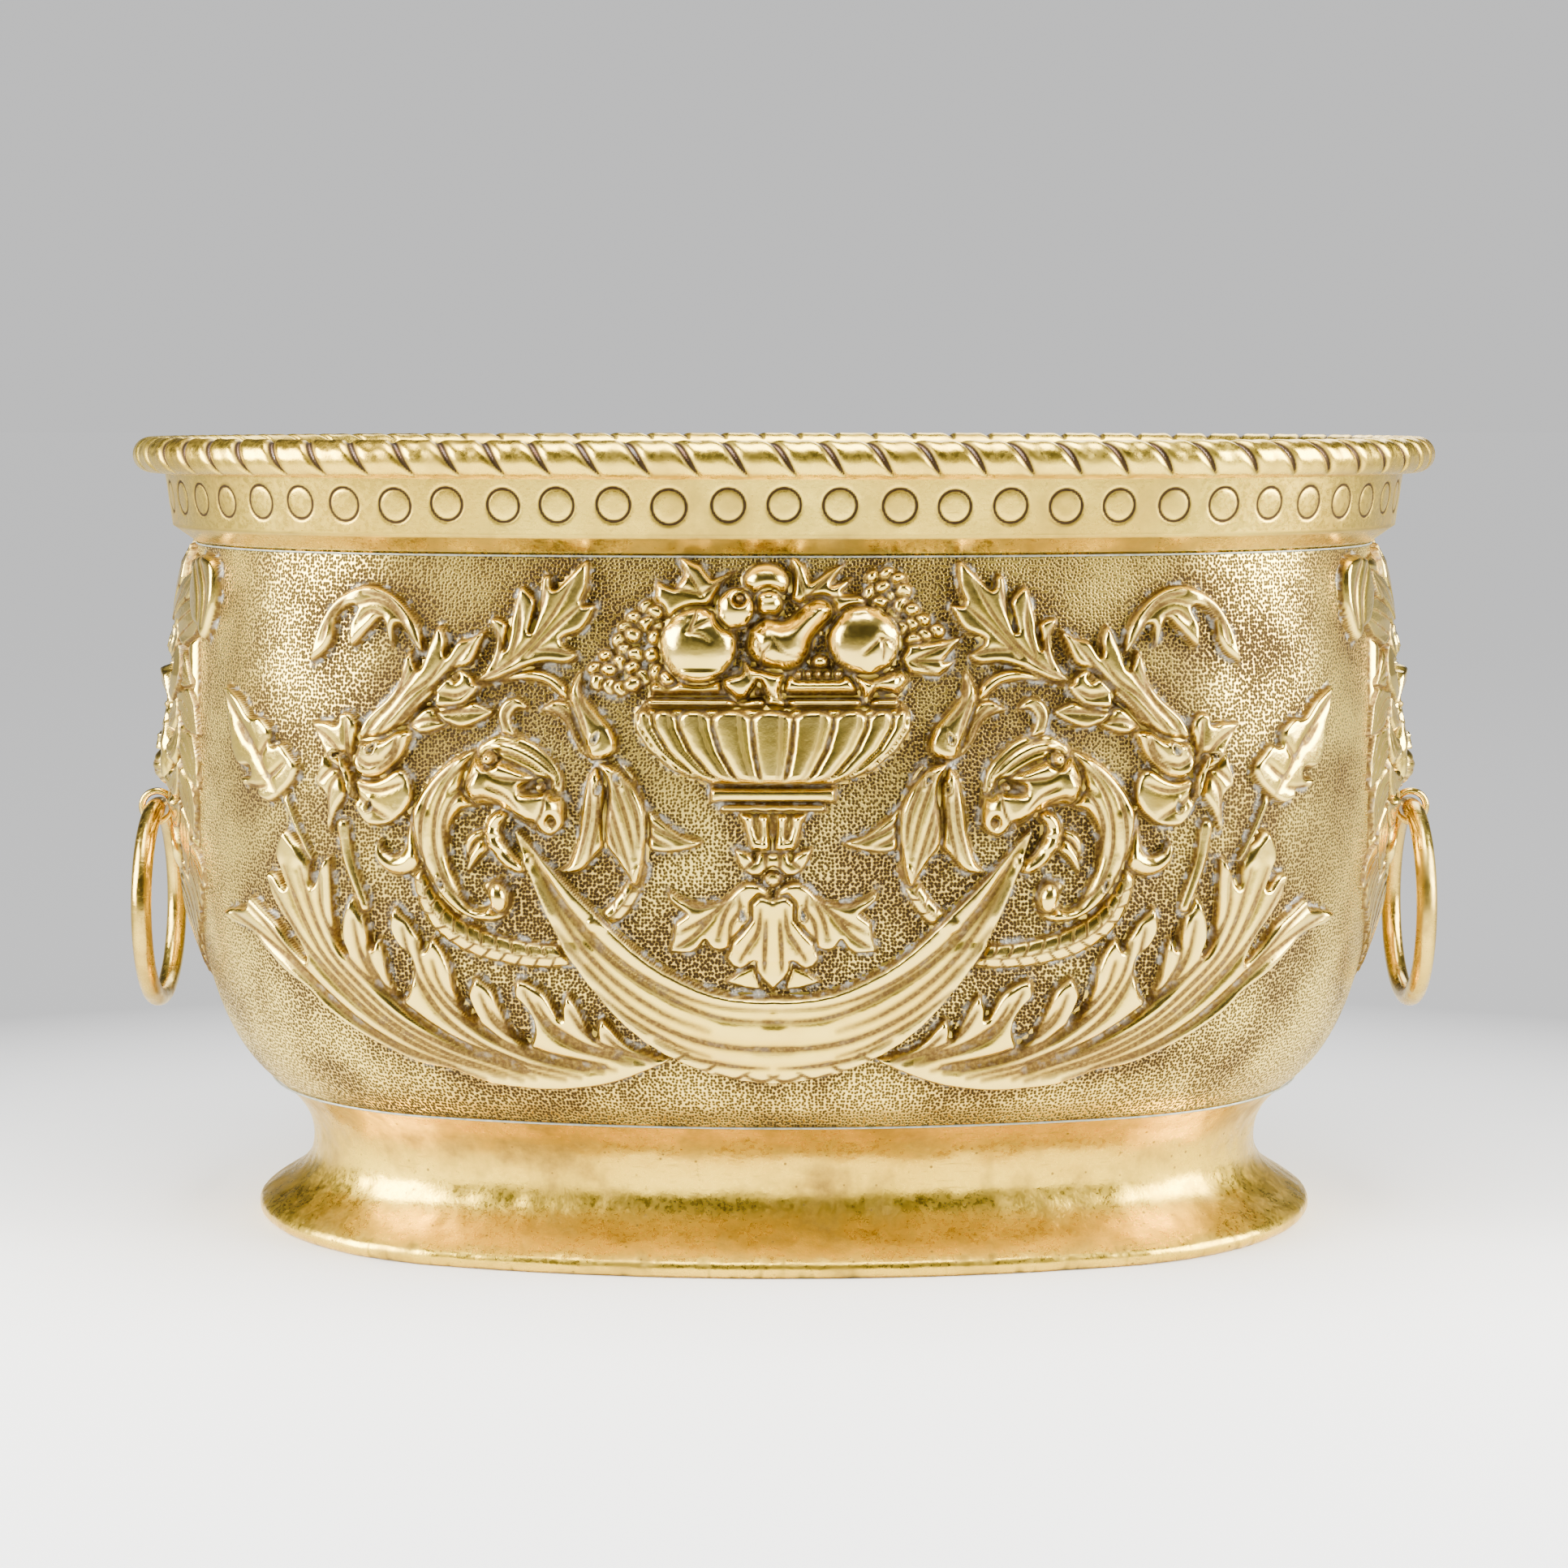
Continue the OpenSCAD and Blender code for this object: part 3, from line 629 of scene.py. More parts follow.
def acanthus(relief, out, side):
    """The big fluted leaf along the foot of the wall: one sheet whose edge runs out in fingers."""
    outline = [
        (37, 89), (44, 90), (53, 92.5), (57, 95.5), (61, 101), (64, 104), (66.5, 101), (67, 96), (70, 101),
        (74, 110), (77, 113), (79.5, 108), (80, 103.5), (85, 113), (91, 117), (96, 118), (97.5, 112), (94, 107.5),
        (91, 102), (91, 97), (94, 92), (98, 95), (101, 101), (103, 107), (105, 113), (109, 117), (112, 118.5),
        (115.5, 112), (114, 106), (112.5, 101.5), (117, 104.5), (120, 113), (121, 121), (124, 129), (128, 133),
        (131.5, 128), (132, 131), (136, 138), (139, 141), (143, 144), (145, 136), (142, 129), (138, 125),
        (137, 119), (139.5, 111), (143, 108), (146, 114), (147, 122), (148, 129), (150, 132), (153, 128),
        (154, 135), (156, 142), (160, 147), (164.5, 139), (165.5, 131), (164, 125), (167, 128), (168.5, 137),
        (168.5, 150), (169, 161.5), (174, 157), (177.5, 150), (179.5, 162), (185, 167), (190, 170.5), (195, 162),
        (193.5, 155), (191, 148), (196, 153), (201, 153), (200, 146), (195, 138), (188, 129), (183.5, 120.5),
        (191, 126), (196.5, 133), (204, 137.5), (213, 142.5), (216, 138.5), (225, 137), (233, 135), (229, 131),
        (214, 128), (205, 122), (196, 115), (185, 109), (177, 102), (166, 95), (154, 89), (139, 83), (124, 80),
        (112, 76.5), (100, 75), (87, 74.5), (75, 75.5), (62, 78), (51, 82), (42, 86)]
    relief.patch(out(outline), 4.6, 2.4, True, under=0.1)
    for line in (
            [(224, 134.5), (210, 130), (195, 122), (179, 110), (163, 98), (144, 88), (124, 82)],
            [(212, 139), (202, 132), (190, 121), (176, 109), (159, 97), (138, 87), (112, 79)],
            [(198, 149), (190, 137), (180, 124), (167, 111), (151, 98), (130, 87), (104, 80)],
            [(190, 156), (183, 139), (175, 124), (162, 111), (146, 98), (124, 87), (97, 79)],
            [(182, 156), (177, 138), (170, 124), (158, 112), (142, 99), (119, 88), (92, 80)],
            [(173, 154), (173, 141), (167, 128), (156, 116), (141, 105), (121, 92), (97, 83)],
            [(159, 138), (157, 125), (152, 115), (142, 105), (126, 94), (105, 85), (80, 80)],
            [(153, 133), (154, 123), (148, 112), (137, 102), (121, 93), (98, 85)],
            [(139, 136), (136, 121), (128, 106), (116, 95), (98, 86), (74, 81)],
            [(134, 131), (131, 118), (123, 106), (110, 96), (94, 88), (71, 83)],
            [(128, 124), (125, 114), (116, 103), (104, 94), (87, 87), (65, 83.5)],
            [(120, 113), (115, 103), (106, 95)],
            [(110, 112), (106, 102), (96, 93), (82, 87), (60, 84.5)],
            [(106, 105), (98, 95), (86, 89), (64, 86)],
            [(93, 114), (88, 104), (82, 97), (70, 91), (54, 87)],
            [(88, 109), (83, 101), (72, 94), (58, 89)],
            [(76, 107), (71, 99), (63, 93), (50, 88.5)],
            [(63, 98), (56, 91), (45, 88)]):
        relief_line(relief, out(line), 1.15, 1.5, 0.95)
    for d, z, turn, length in ((142, 112, -60, 3.6), (94, 95, -40, 3.4), (184, 122, -50, 2)):
        drop_eye(relief, out, d, z, turn, length)


def crest_feather(relief, out, side):
    """The drooping leaf of the mask's crest, chased in the wall beside the mask."""
    mass(relief, out, [(268, 270), (256, 271), (246, 269), (241.5, 262), (241.5, 251), (246, 241.5), (252, 237),
                       (257, 241), (266, 244), (274, 256)], 4.4,
         [[(259, 269), (249.5, 257), (250, 243)], [(266, 267), (257, 255), (255, 244)]], bevel=3)


def chased_panel(s, z):
    relief = Relief(s, z)
    relief.shift = -4.0  # the maker's middle lies a little to the left of the pot's
    for draw in (hanging_husk, acanthus, side_leaf, flower, crest_feather):
        each_side(draw, relief)
    each_side(serpent, relief)
    swag(relief)
    each_side(upper_sprays, relief)
    pendant(relief)
    footed_bowl(relief)
    fruit(relief)
    return relief


# ---------------------------------------------------------------- meshes

def mesh_piece(name, points, faces, marks, body):
    """An object from point and face arrays, with one vertex attribute for each entry in marks."""
    corners = [points[f[:, :3]] for f in faces]
    if sum(np.einsum("ij,ij->", c[:, 0], np.cross(c[:, 1], c[:, 2])) for c in corners) < 0:
        faces = [f[:, ::-1] for f in faces]
    mesh = bpy.data.meshes.new(name)
    mesh.vertices.add(len(points))
    mesh.vertices.foreach_set("co", (points * MM).astype(np.float32).ravel())
    sizes = np.concatenate([np.full(len(f), f.shape[1], np.int32) for f in faces])
    mesh.loops.add(int(sizes.sum()))
    mesh.loops.foreach_set("vertex_index", np.concatenate([f.ravel() for f in faces]).astype(np.int32))
    mesh.polygons.add(len(sizes))
    mesh.polygons.foreach_set("loop_start", np.r_[0, np.cumsum(sizes)[:-1]].astype(np.int32))
    mesh.polygons.foreach_set("use_smooth", np.ones(len(sizes), bool))
    mesh.update(calc_edges=True)
    for mark, values in marks.items():
        kind, field = ("FLOAT_VECTOR", "vector") if mark == "wall" else ("FLOAT", "value")
        mesh.attributes.new(mark, kind, "POINT").data.foreach_set(field, values.astype(np.float32).ravel())
    piece = bpy.data.objects.new(name, mesh)
    bpy.context.collection.objects.link(piece)
    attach(piece, body)
    return piece


def quads(rows, cols, wrap_rows=False, wrap_cols=False, start=0, flip=False):
    """Quads over a grid of points stored row by row."""
    i = np.arange(rows if wrap_rows else rows - 1)[:, None]
    j = np.arange(cols if wrap_cols else cols - 1)[None, :]
    a, b = i * cols + j, i * cols + (j + 1) % cols
    c, d = (i + 1) % rows * cols + (j + 1) % cols, (i + 1) % rows * cols + j
    faces = np.stack([a, b, c, d], -1).reshape(-1, 4) + start
    return faces[:, ::-1] if flip else faces


def around(count):
    """Runs along the belly for count points all the way round, and which half each is in."""
    t = np.arange(count) / count * 4 * quarter
    back = t >= 2 * quarter
    return np.where(back, t - 3 * quarter, t - quarter), np.where(back, -1.0, 1.0)


def run_at(s, half):
    """Distance along the oval of a half length, for a run s along the belly."""
    r = half - END_CENTRE
    return np.sign(s) * (np.minimum(np.abs(s), side_run) * (r + ARC_GAP) / (belly_r + ARC_GAP)
                         + np.maximum(np.abs(s) - side_run, 0) * r / belly_r)


def sweep(s, face, halves, heights):
    """Grid of points: halves and heights are arrays of (section, round) or (section, 1)."""
    x, y, _, _ = on_oval(np.broadcast_to(s, np.broadcast(s, halves).shape), halves)
    z = np.broadcast_to(heights, x.shape)
    return np.stack([x * face, y * face, z], -1)


def oval_tube(name, section, count, shape, body, marks=None):
    """A closed section swept round the oval. shape(s, half, z) gives outward and upward moves."""
    s, face = around(count)
    half = np.repeat(section[:, :1], count, 1)
    z = np.repeat(section[:, 1:], count, 1)
    out, up, extra = shape(np.broadcast_to(s, half.shape), half, z)
    points = sweep(s, face, half + out, z + up)
    return mesh_piece(name, points.reshape(-1, 3), [quads(*half.shape, True, True)], extra, body)


# ---------------------------------------------------------------- materials

class Shade:
    """A material's node tree, with short calls for the nodes used here."""

    def __init__(self, name):
        self.material = bpy.data.materials.new(name)
        self.material.use_nodes = True
        self.tree = self.material.node_tree
        self.shader = self.tree.nodes["Principled BSDF"]
        self.place = self.add("ShaderNodeTexCoord").outputs["Object"]

    def add(self, kind, settings=(), **inputs):
        node = self.tree.nodes.new(kind)
        for key, value in dict(settings).items():
            setattr(node, key, value)
        for key, value in inputs.items():
            self.feed(node.inputs[int(key[1:]) if key[0] == "i" and key[1:].isdigit() else key.replace("_", " ")],
                      value)
        return node

    def feed(self, socket, value):
        if isinstance(value, bpy.types.NodeSocket):
            self.tree.links.new(value, socket)
        else:
            socket.default_value = value

    def math(self, operation, a, b=0.0, clamp=False):
        return self.add("ShaderNodeMath", {"operation": operation, "use_clamp": clamp}, i0=a, i1=b).outputs[0]

    def mark(self, name):
        return self.add("ShaderNodeAttribute", {"attribute_name": name}).outputs["Fac"]

    def noise(self, per_metre, detail=3.0, rough=0.55, stretch=(1, 1, 1)):
        place = self.place
        if stretch != (1, 1, 1):
            place = self.add("ShaderNodeMapping", Vector=place, Scale=stretch).outputs[0]
        return self.add("ShaderNodeTexNoise", Vector=place, Scale=per_metre, Detail=detail,
                        Roughness=rough).outputs["Fac"]

    def cells(self, per_metre, feature="F1"):
        return self.add("ShaderNodeTexVoronoi", {"feature": feature}, Vector=self.place,
                        Scale=per_metre).outputs["Distance"]

    def band(self, value, low, high, to_low=0.0, to_high=1.0):
        """Maps low..high to to_low..to_high, clamped."""
        return self.add("ShaderNodeMapRange", {"clamp": True}, Value=value, i1=low, i2=high, i3=to_low,
                        i4=to_high).outputs[0]

    def mix(self, share, a, b):
        node = self.add("ShaderNodeMix", {"data_type": "RGBA"})
        self.feed(node.inputs[0], share)
        self.feed(node.inputs[6], a)
        self.feed(node.inputs[7], b)
        return node.outputs[2]

    def blend(self, share, a, b):
        node = self.add("ShaderNodeMix", {"data_type": "FLOAT"})
        self.feed(node.inputs[0], share)
        self.feed(node.inputs[2], a)
        self.feed(node.inputs[3], b)
        return node.outputs[0]

    def finish(self, colour, metallic, roughness, bump=None, height=0.0002):
        self.feed(self.shader.inputs["Base Color"], colour)
        self.feed(self.shader.inputs["Metallic"], metallic)
        self.feed(self.shader.inputs["Roughness"], roughness)
        if bump is not None:
            node = self.add("ShaderNodeBump", Height=bump, Distance=height, Strength=1.0)
            self.feed(self.shader.inputs["Normal"], node.outputs[0])
        return self.material


BRASS = (0.91, 0.655, 0.09, 1)
DEEP_BRASS = (0.77, 0.50, 0.055, 1)
COPPERY = (0.60, 0.38, 0.06, 1)
TARNISH = (0.15, 0.085, 0.03, 1)
GROOVE_BROWN = (0.12, 0.066, 0.02, 1)
DIRT = (0.045, 0.027, 0.012, 1)
RESIDUE = (0.52, 0.52, 0.45, 1)


def chased_brass():
    """Stippled brown ground with painted shade next to the relief, polished relief, dirt in the lines and dried polish
    along outlines.
    """
    m = Shade("chased_brass")
    polished, groove, residue, worn = (m.mark(k) for k in ("polished", "groove", "residue", "worn"))
    broad, fine = m.noise(28, 4), m.noise(700, 3)
    wall = m.add("ShaderNodeAttribute", {"attribute_name": "wall"}).outputs["Vector"]
    # painted shade: a mark that is high on the ground close to the relief, where the relief would shade it
    shade_by_relief = m.mark("shade_by_relief")
    punches = m.add("ShaderNodeTexVoronoi", {"voronoi_dimensions": "2D"}, Vector=wall, Scale=740.0,
                    Randomness=0.7).outputs["Distance"]
    # broad random grime, plus painted shade next to the relief: together they darken the ground and widen its punched
    # pits
    grime_and_shade = m.math("ADD", m.band(broad, 0.40, 0.68), m.math("MULTIPLY", shade_by_relief, 0.8), True)
    reach = m.blend(grime_and_shade, 0.49, 0.60)
    pit = m.band(m.math("DIVIDE", punches, reach), 0.6, 1.0, 1.0, 0.0)
    ground = m.mix(grime_and_shade, (0.96, 0.71, 0.14, 1), (0.46, 0.30, 0.06, 1))
    ground = m.mix(m.math("MULTIPLY", pit, m.blend(grime_and_shade, 0.90, 0.98)), ground, DIRT)
    metal = m.mix(m.band(m.noise(55, 5), 0.38, 0.72), BRASS, DEEP_BRASS)
    metal = m.mix(m.band(worn, 0.0, 0.8, 0.0, 0.5), metal, (0.97, 0.72, 0.20, 1))
    beside = m.math("MULTIPLY", residue, m.band(fine, 0.3, 0.5, 0.5, 1.0))
    ground = m.mix(m.math("MULTIPLY", beside, 0.85), ground, DIRT)
    colour = m.mix(polished, ground, metal)
    dark = m.math("MULTIPLY", m.band(groove, 0.06, 0.62), m.band(fine, 0.25, 0.6, 0.8, 1.0))
    colour = m.mix(dark, colour, GROOVE_BROWN)
    chalk = m.math("MULTIPLY", residue, m.band(m.noise(230, 4), 0.5, 0.62))
    colour = m.mix(m.math("MULTIPLY", chalk, 0.75), colour, RESIDUE)
    dull = m.math("MAXIMUM", dark, chalk)
    metallic = m.blend(chalk, 1.0, 0.3)
    rough = m.blend(polished, m.band(pit, 0, 1, 0.27, 0.7), m.band(fine, 0.3, 0.8, 0.13, 0.24))
    rough = m.blend(dull, rough, 0.6)
    flat = m.blend(polished, m.math("MULTIPLY", pit, -1.0), m.math("MULTIPLY", m.noise(420, 2), 0.25))
    return m.finish(colour, metallic, rough, flat, 0.00028)


def plain_brass(name, colour, deep, tarnish=0.35, rough=0.22, hammer=90, hammer_height=0.00025, pits=False):
    """Worn brass sheet with soft tarnish, fine scratches and hammer marks."""
    m = Shade(name)
    groove = m.band(m.mark("groove"), 0.06, 0.7)
    patches = m.band(m.noise(34, 6, 0.62), 0.5, 0.72)
    specks = m.band(m.noise(260, 5, 0.7), 0.62, 0.74)
    scratch = m.band(m.noise(90, 4, 0.6, (1, 1, 9)), 0.6, 0.72)
    base = m.mix(m.band(m.noise(18, 3), 0.35, 0.7), colour, deep)
    dark = m.math("MULTIPLY", m.math("MAXIMUM", patches, specks), tarnish)
    dark = m.math("MAXIMUM", dark, m.math("MULTIPLY", scratch, tarnish * 0.5))
    if pits:
        dark = m.math("MAXIMUM", dark, m.band(m.cells(150), 0.05, 0.12, 0.8, 0.0))
    tone = m.mix(dark, base, TARNISH)
    tone = m.mix(groove, tone, DIRT)
    roughness = m.blend(m.math("MAXIMUM", dark, groove), m.band(m.noise(500, 2), 0.3, 0.7, rough, rough + 0.13),
                        0.62)
    bumps = m.math("ADD", m.band(m.cells(hammer, "SMOOTH_F1"), 0.0, 0.8),
                   m.math("MULTIPLY", m.noise(900, 2), 0.18))
    return m.finish(tone, 1.0, roughness, bumps, hammer_height)


def dull_metal(name, colour, other, scale, rough, metallic):
    m = Shade(name)
    grain = m.noise(scale, 5, 0.65)
    tone = m.mix(m.band(grain, 0.35, 0.7), colour, other)
    return m.finish(tone, metallic, m.band(grain, 0.3, 0.8, rough, rough + 0.2), grain, 0.0003)


# ---------------------------------------------------------------- body

GRID = 0.75
INNER = 3  # the inside is this many times coarser than the chased face


def count_for(length, step, multiple=INNER):
    """Number of grid points on a length, one more than a multiple of INNER."""
    return multiple * max(1, round(length / step / multiple)) + 1


def panel(name, section, relief, face, thickness, material):
    """One chased half of the body: outer face, smoother inside, and edges between them."""
    s, z = relief.s, relief.z
    halves = np.interp(z, section[:, 1], section[:, 0])[:, None]
    slope = np.gradient(halves[:, 0], z)[:, None]
    tilt = 1 / np.sqrt(1 + slope ** 2)
    x, y, nx, ny = on_oval(s[None, :], halves)
    edge = np.clip((quarter - np.abs(s)) / 3, 0, 1)[None, :] * np.clip((z - z[0]) / 2, 0, 1)[:, None] \
        * np.clip((z[-1] - z) / 1.5, 0, 1)[:, None]
    lift = relief.height * edge

    def lifted(by):
        return np.stack([face * (x + nx * tilt * by), face * (y + ny * tilt * by),
                         z[:, None] - slope * tilt * by], -1)

    outer = lifted(lift)
    soft = blur(lift, max(1, round(2.2 / GRID))) * 0.9 - thickness
    inner = lifted(np.minimum(soft, lift - 0.7 * thickness))[::INNER, ::INNER]
    m, n = outer.shape[:2]
    k, l = inner.shape[:2]
    start = m * n
    faces = [quads(m, n), quads(k, l, start=start, flip=True)]
    edge_faces = []
    for row, inner_row, way in ((0, 0, 1), (m - 1, k - 1, -1)):
        for j in range(l - 1):
            up = [start + inner_row * l + j, start + inner_row * l + j + 1]
            down = [row * n + INNER * (j + 1) - i for i in range(INNER + 1)]
            edge_faces.append((up + down)[::way])
    for col, inner_col, way in ((0, 0, -1), (n - 1, l - 1, 1)):
        for i in range(k - 1):
            up = [start + i * l + inner_col, start + (i + 1) * l + inner_col]
            down = [(INNER * (i + 1) - q) * n + col for q in range(INNER + 1)]
            edge_faces.append((up + down)[::way])
    faces.append(np.array(edge_faces))
    smooth = blur(lift, max(1, round(3.0 / GRID)))
    hollow = np.clip((smooth - lift) / 1.1, 0, 1)
    proud = np.clip((lift - smooth) / 1.2, 0, 1)
    groove = np.clip(1.0 * relief.cut + 0.45 * hollow * relief.polished, 0, 1)
    beside = np.clip(blur(relief.polished, max(1, round(1.1 / GRID))) * 2.4, 0, 1) * (1 - relief.polished)
    # painted shade: the polished mask blurred outwards, which darkens the stippled ground near the relief
    near = blur(relief.polished, max(1, round(5.0 / GRID)))
    marks = {"polished": relief.polished, "shade_by_relief": np.clip(1.6 * near, 0, 1), "groove": groove * (0.35 + 0.65 * relief.polished),
             "residue": np.clip(0.8 * beside + 0.35 * relief.cut * hollow, 0, 1), "worn": proud}
    blank = {"polished": 1.0, "shade_by_relief": 0.6, "groove": 0.34, "residue": 0.0, "worn": 0.0}
    marks = {key: np.r_[value.ravel(), np.full(k * l, blank[key])] for key, value in marks.items()}
    wall = np.stack([*np.meshgrid(s, z), 0 * lift], -1) * MM
    marks["wall"] = np.vstack([wall.reshape(-1, 3), wall[::INNER, ::INNER].reshape(-1, 3)])
    points = np.vstack([outer.reshape(-1, 3), inner.reshape(-1, 3)])
    piece = mesh_piece(name, points, faces, marks, "pot")
    piece.data.materials.append(material)
    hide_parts("body_wall")
    return piece


def body(material):
    section = body_section()
    run = np.r_[0, np.cumsum(np.hypot(*np.diff(section, axis=0).T))]
    rows = np.linspace(0, run[-1], count_for(run[-1], GRID))
    z = np.interp(rows, run, section[:, 1])
    s = np.linspace(-quarter, quarter, count_for(2 * quarter, GRID))
    relief = chased_panel(s, z)
    sheet = 1.2
    panel("body_front", section, relief, 1.0, sheet, material)
    panel("body_back", section, relief, -1.0, sheet, material)


# ---------------------------------------------------------------- rim, collar and foot

def circle(centre, r, count):
    a = np.arange(count) / count * 2 * math.pi
    return np.stack([centre[0] + r * np.cos(a), centre[1] + r * np.sin(a)], 1)


def rope_rim(material):
    """The wired rim, chased with slanting grooves like a rope, and its lip inside the collar."""
    low, high = roll_low, roll_high
    roll_r = 7.25
    centre = (high[0] - roll_r, high[2] - roll_r)
    strands = 80
    pitch = 4 * run_at(np.array([quarter]), centre[0])[0] / strands
    around_count = 1900

    def twist(s, half, z):
        turn = np.arctan2(z - centre[1], half - centre[0])
        along = run_at(s, centre[0]) / pitch + 0.49 * roll_r * turn / pitch
        wobble = 0.05 * value_noise(s / 40, s * 0, 3)
        off = (along + wobble + 0.5) % 1 - 0.5
        reach = np.clip(1 - ((np.degrees(turn) - 40) / 103) ** 2, 0, 1)
        mark = dip(off * pitch, 0.5 + 1.75 * reach) * reach ** 0.45
        bulge = 0.35 * (1 - (2 * off) ** 2) * reach
        move = bulge - 1.7 * mark - 0.35
        line = np.clip(1.25 * dip(off * pitch, 0.4 + 1.25 * reach) * (reach > 0.02) * reach ** 0.3, 0, 1)
        return move * np.cos(turn), move * np.sin(turn), {"groove": line}

    rim = oval_tube("rim_rope", circle(centre, roll_r, 44), around_count, twist, "pot")
    rim.data.materials.append(material)
    lip_x = centre[0] - 5.1 - 1.6 - 1
    lip = np.array([(0, -1), (0, -5.5), (-1.2, -14), (-0.2, -14), (1, -5.5), (1, -1)]) + [lip_x, centre[1]]

    def plain(s, half, z):
        return 0 * half, 0 * half, {"groove": np.full(half.shape, 0.15)}

    edge = oval_tube("rim_lip", lip, around_count // 4, plain, "pot")
    edge.data.materials.append(material)
    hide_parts("rim_roll")
    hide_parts("rim_roll")


def offset_section(line, thickness):
    """A closed section: a line, and the same line moved inwards."""
    line = np.asarray(line)
    way = np.gradient(line, axis=0)
    side = np.stack([-way[:, 1], way[:, 0]], 1) / np.hypot(*way.T)[:, None]
    return line, line + thickness * side


def punched_collar(material):
    """The collar band, with a row of punched rings that a hand spaced by eye."""
    low, high = collar_low, collar_high
    foot = (half_at("body_wall", shoulder_z), shoulder_z)
    arris = (high[0] - 2.9, low[2] + 7)
    top = (high[0], high[2])
    line = np.vstack([even_run([foot, arris], 9)[:-1], even_run([arris, top], 34)])
    outer, inner = offset_section(line, 1.5)
    section = np.vstack([outer, inner[::-3]])
    count = 2000
    rings = 65
    total = 4 * run_at(np.array([quarter]), top[0])[0]
    pitch = total / rings
    centre_z = arris[1] + 11.3

    def punch(s, half, z):
        along = run_at(s, top[0])
        at_back = np.arange(s.shape[-1]) * 2 >= s.shape[-1]
        along = along + np.where(at_back, total / 2, 0)
        number = np.round(along / pitch)
        shake = 0.7 * value_noise(number * 3.7, number * 0, 11)
        lift = 0.45 * value_noise(number * 5.3, number * 0, 17)
        radius = 6.05 + 0.25 * value_noise(number * 2.9, number * 0, 23)
        q = np.hypot(along - number * pitch - shake, z - centre_z - lift) - radius
        on_outside = np.arange(half.shape[0])[:, None] < len(outer)
        mark = dip(q, 0.62) * on_outside * (z > arris[1] + 2)
        dent = dip(np.minimum(q, 0) + 1.1, 1.0) * 0.12
        dull = 0.35 * dip(z - arris[1], 1.0) * on_outside
        return (-0.42 * mark - dent * on_outside, 0 * z,
                {"groove": np.clip(1.1 * mark + dull, 0, 1) + 0 * half})

    band = oval_tube("collar_punched", section, count, punch, "pot")
    band.data.materials.append(material)
    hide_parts("collar_band")


def spreading_foot(material):
    """The foot, hammered and turned over a wire at its edge."""
    outer, inner = offset_section(foot_section(), -1.5)
    bead_r = 3.75
    bead = (foot_high[0] - bead_r, bead_r - 0.25)
    a = np.radians(np.linspace(45, -210, 22))
    edge = np.stack([bead[0] + bead_r * np.cos(a), np.maximum(bead[1] + bead_r * np.sin(a), 0.0)], 1)
    closed = np.vstack([outer, edge, inner[::-2]])
    count = 1000

    def hammered(s, half, z):
        along = run_at(s, 220.0)
        blows = value_noise(along / 11, z / 9, 5) + 0.6 * value_noise(along / 5.5, z / 5, 6)
        nicks = np.clip(value_noise(along / 2.2, z / 7, 9) - 0.35, 0, 1) * (z < 8)
        fade = np.clip((seat_z - z) / 3, 0, 1)
        near_seam = dip(z - seat_z, 1.2)
        move = (0.16 * blows - 0.35 * nicks) * fade
        return move, 0 * z, {"groove": np.clip(0.55 * near_seam + 0.7 * nicks, 0, 1)}

    foot = oval_tube("foot_hammered", closed, count, hammered, "pot")
    foot.data.materials.append(material)
    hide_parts("foot_ring")


# ---------------------------------------------------------------- masks and rings

MASK_HALF = [(92, 14), (100, 30), (112, 44), (125, 54), (140, 62), (152, 68), (175, 70), (200, 70), (220, 68),
             (238, 67), (243, 76), (256, 78), (266, 72), (272, 58)]
MASK_RISE = [(92, 1.7), (98, 2.3), (105, 3.4), (124, 6.2), (138, 7.8), (150, 8.6), (158, 9), (166, 9.1),
             (172, 11.5), (179, 14), (186, 14.8), (192, 13.8), (199, 11.2), (206, 10), (211, 9.8), (216, 11.6),
             (221, 12.6), (228, 11), (236, 9.4), (246, 8.9), (256, 8.2), (265, 7.2), (272, 4)]


def mask_envelope(d, z):
    """The cast shell's height off the body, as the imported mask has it."""
    half = np.interp(z, *zip(*MASK_HALF))
    top = np.interp(z, *zip(*MASK_RISE))
    u = np.clip(np.abs(d) / half, 0, 1)
    return 1.6 + (top - 1.6) * (1 - u ** 2.6) * (1 - 0.38 * (1 - np.cos(np.radians(150 * u)))), u


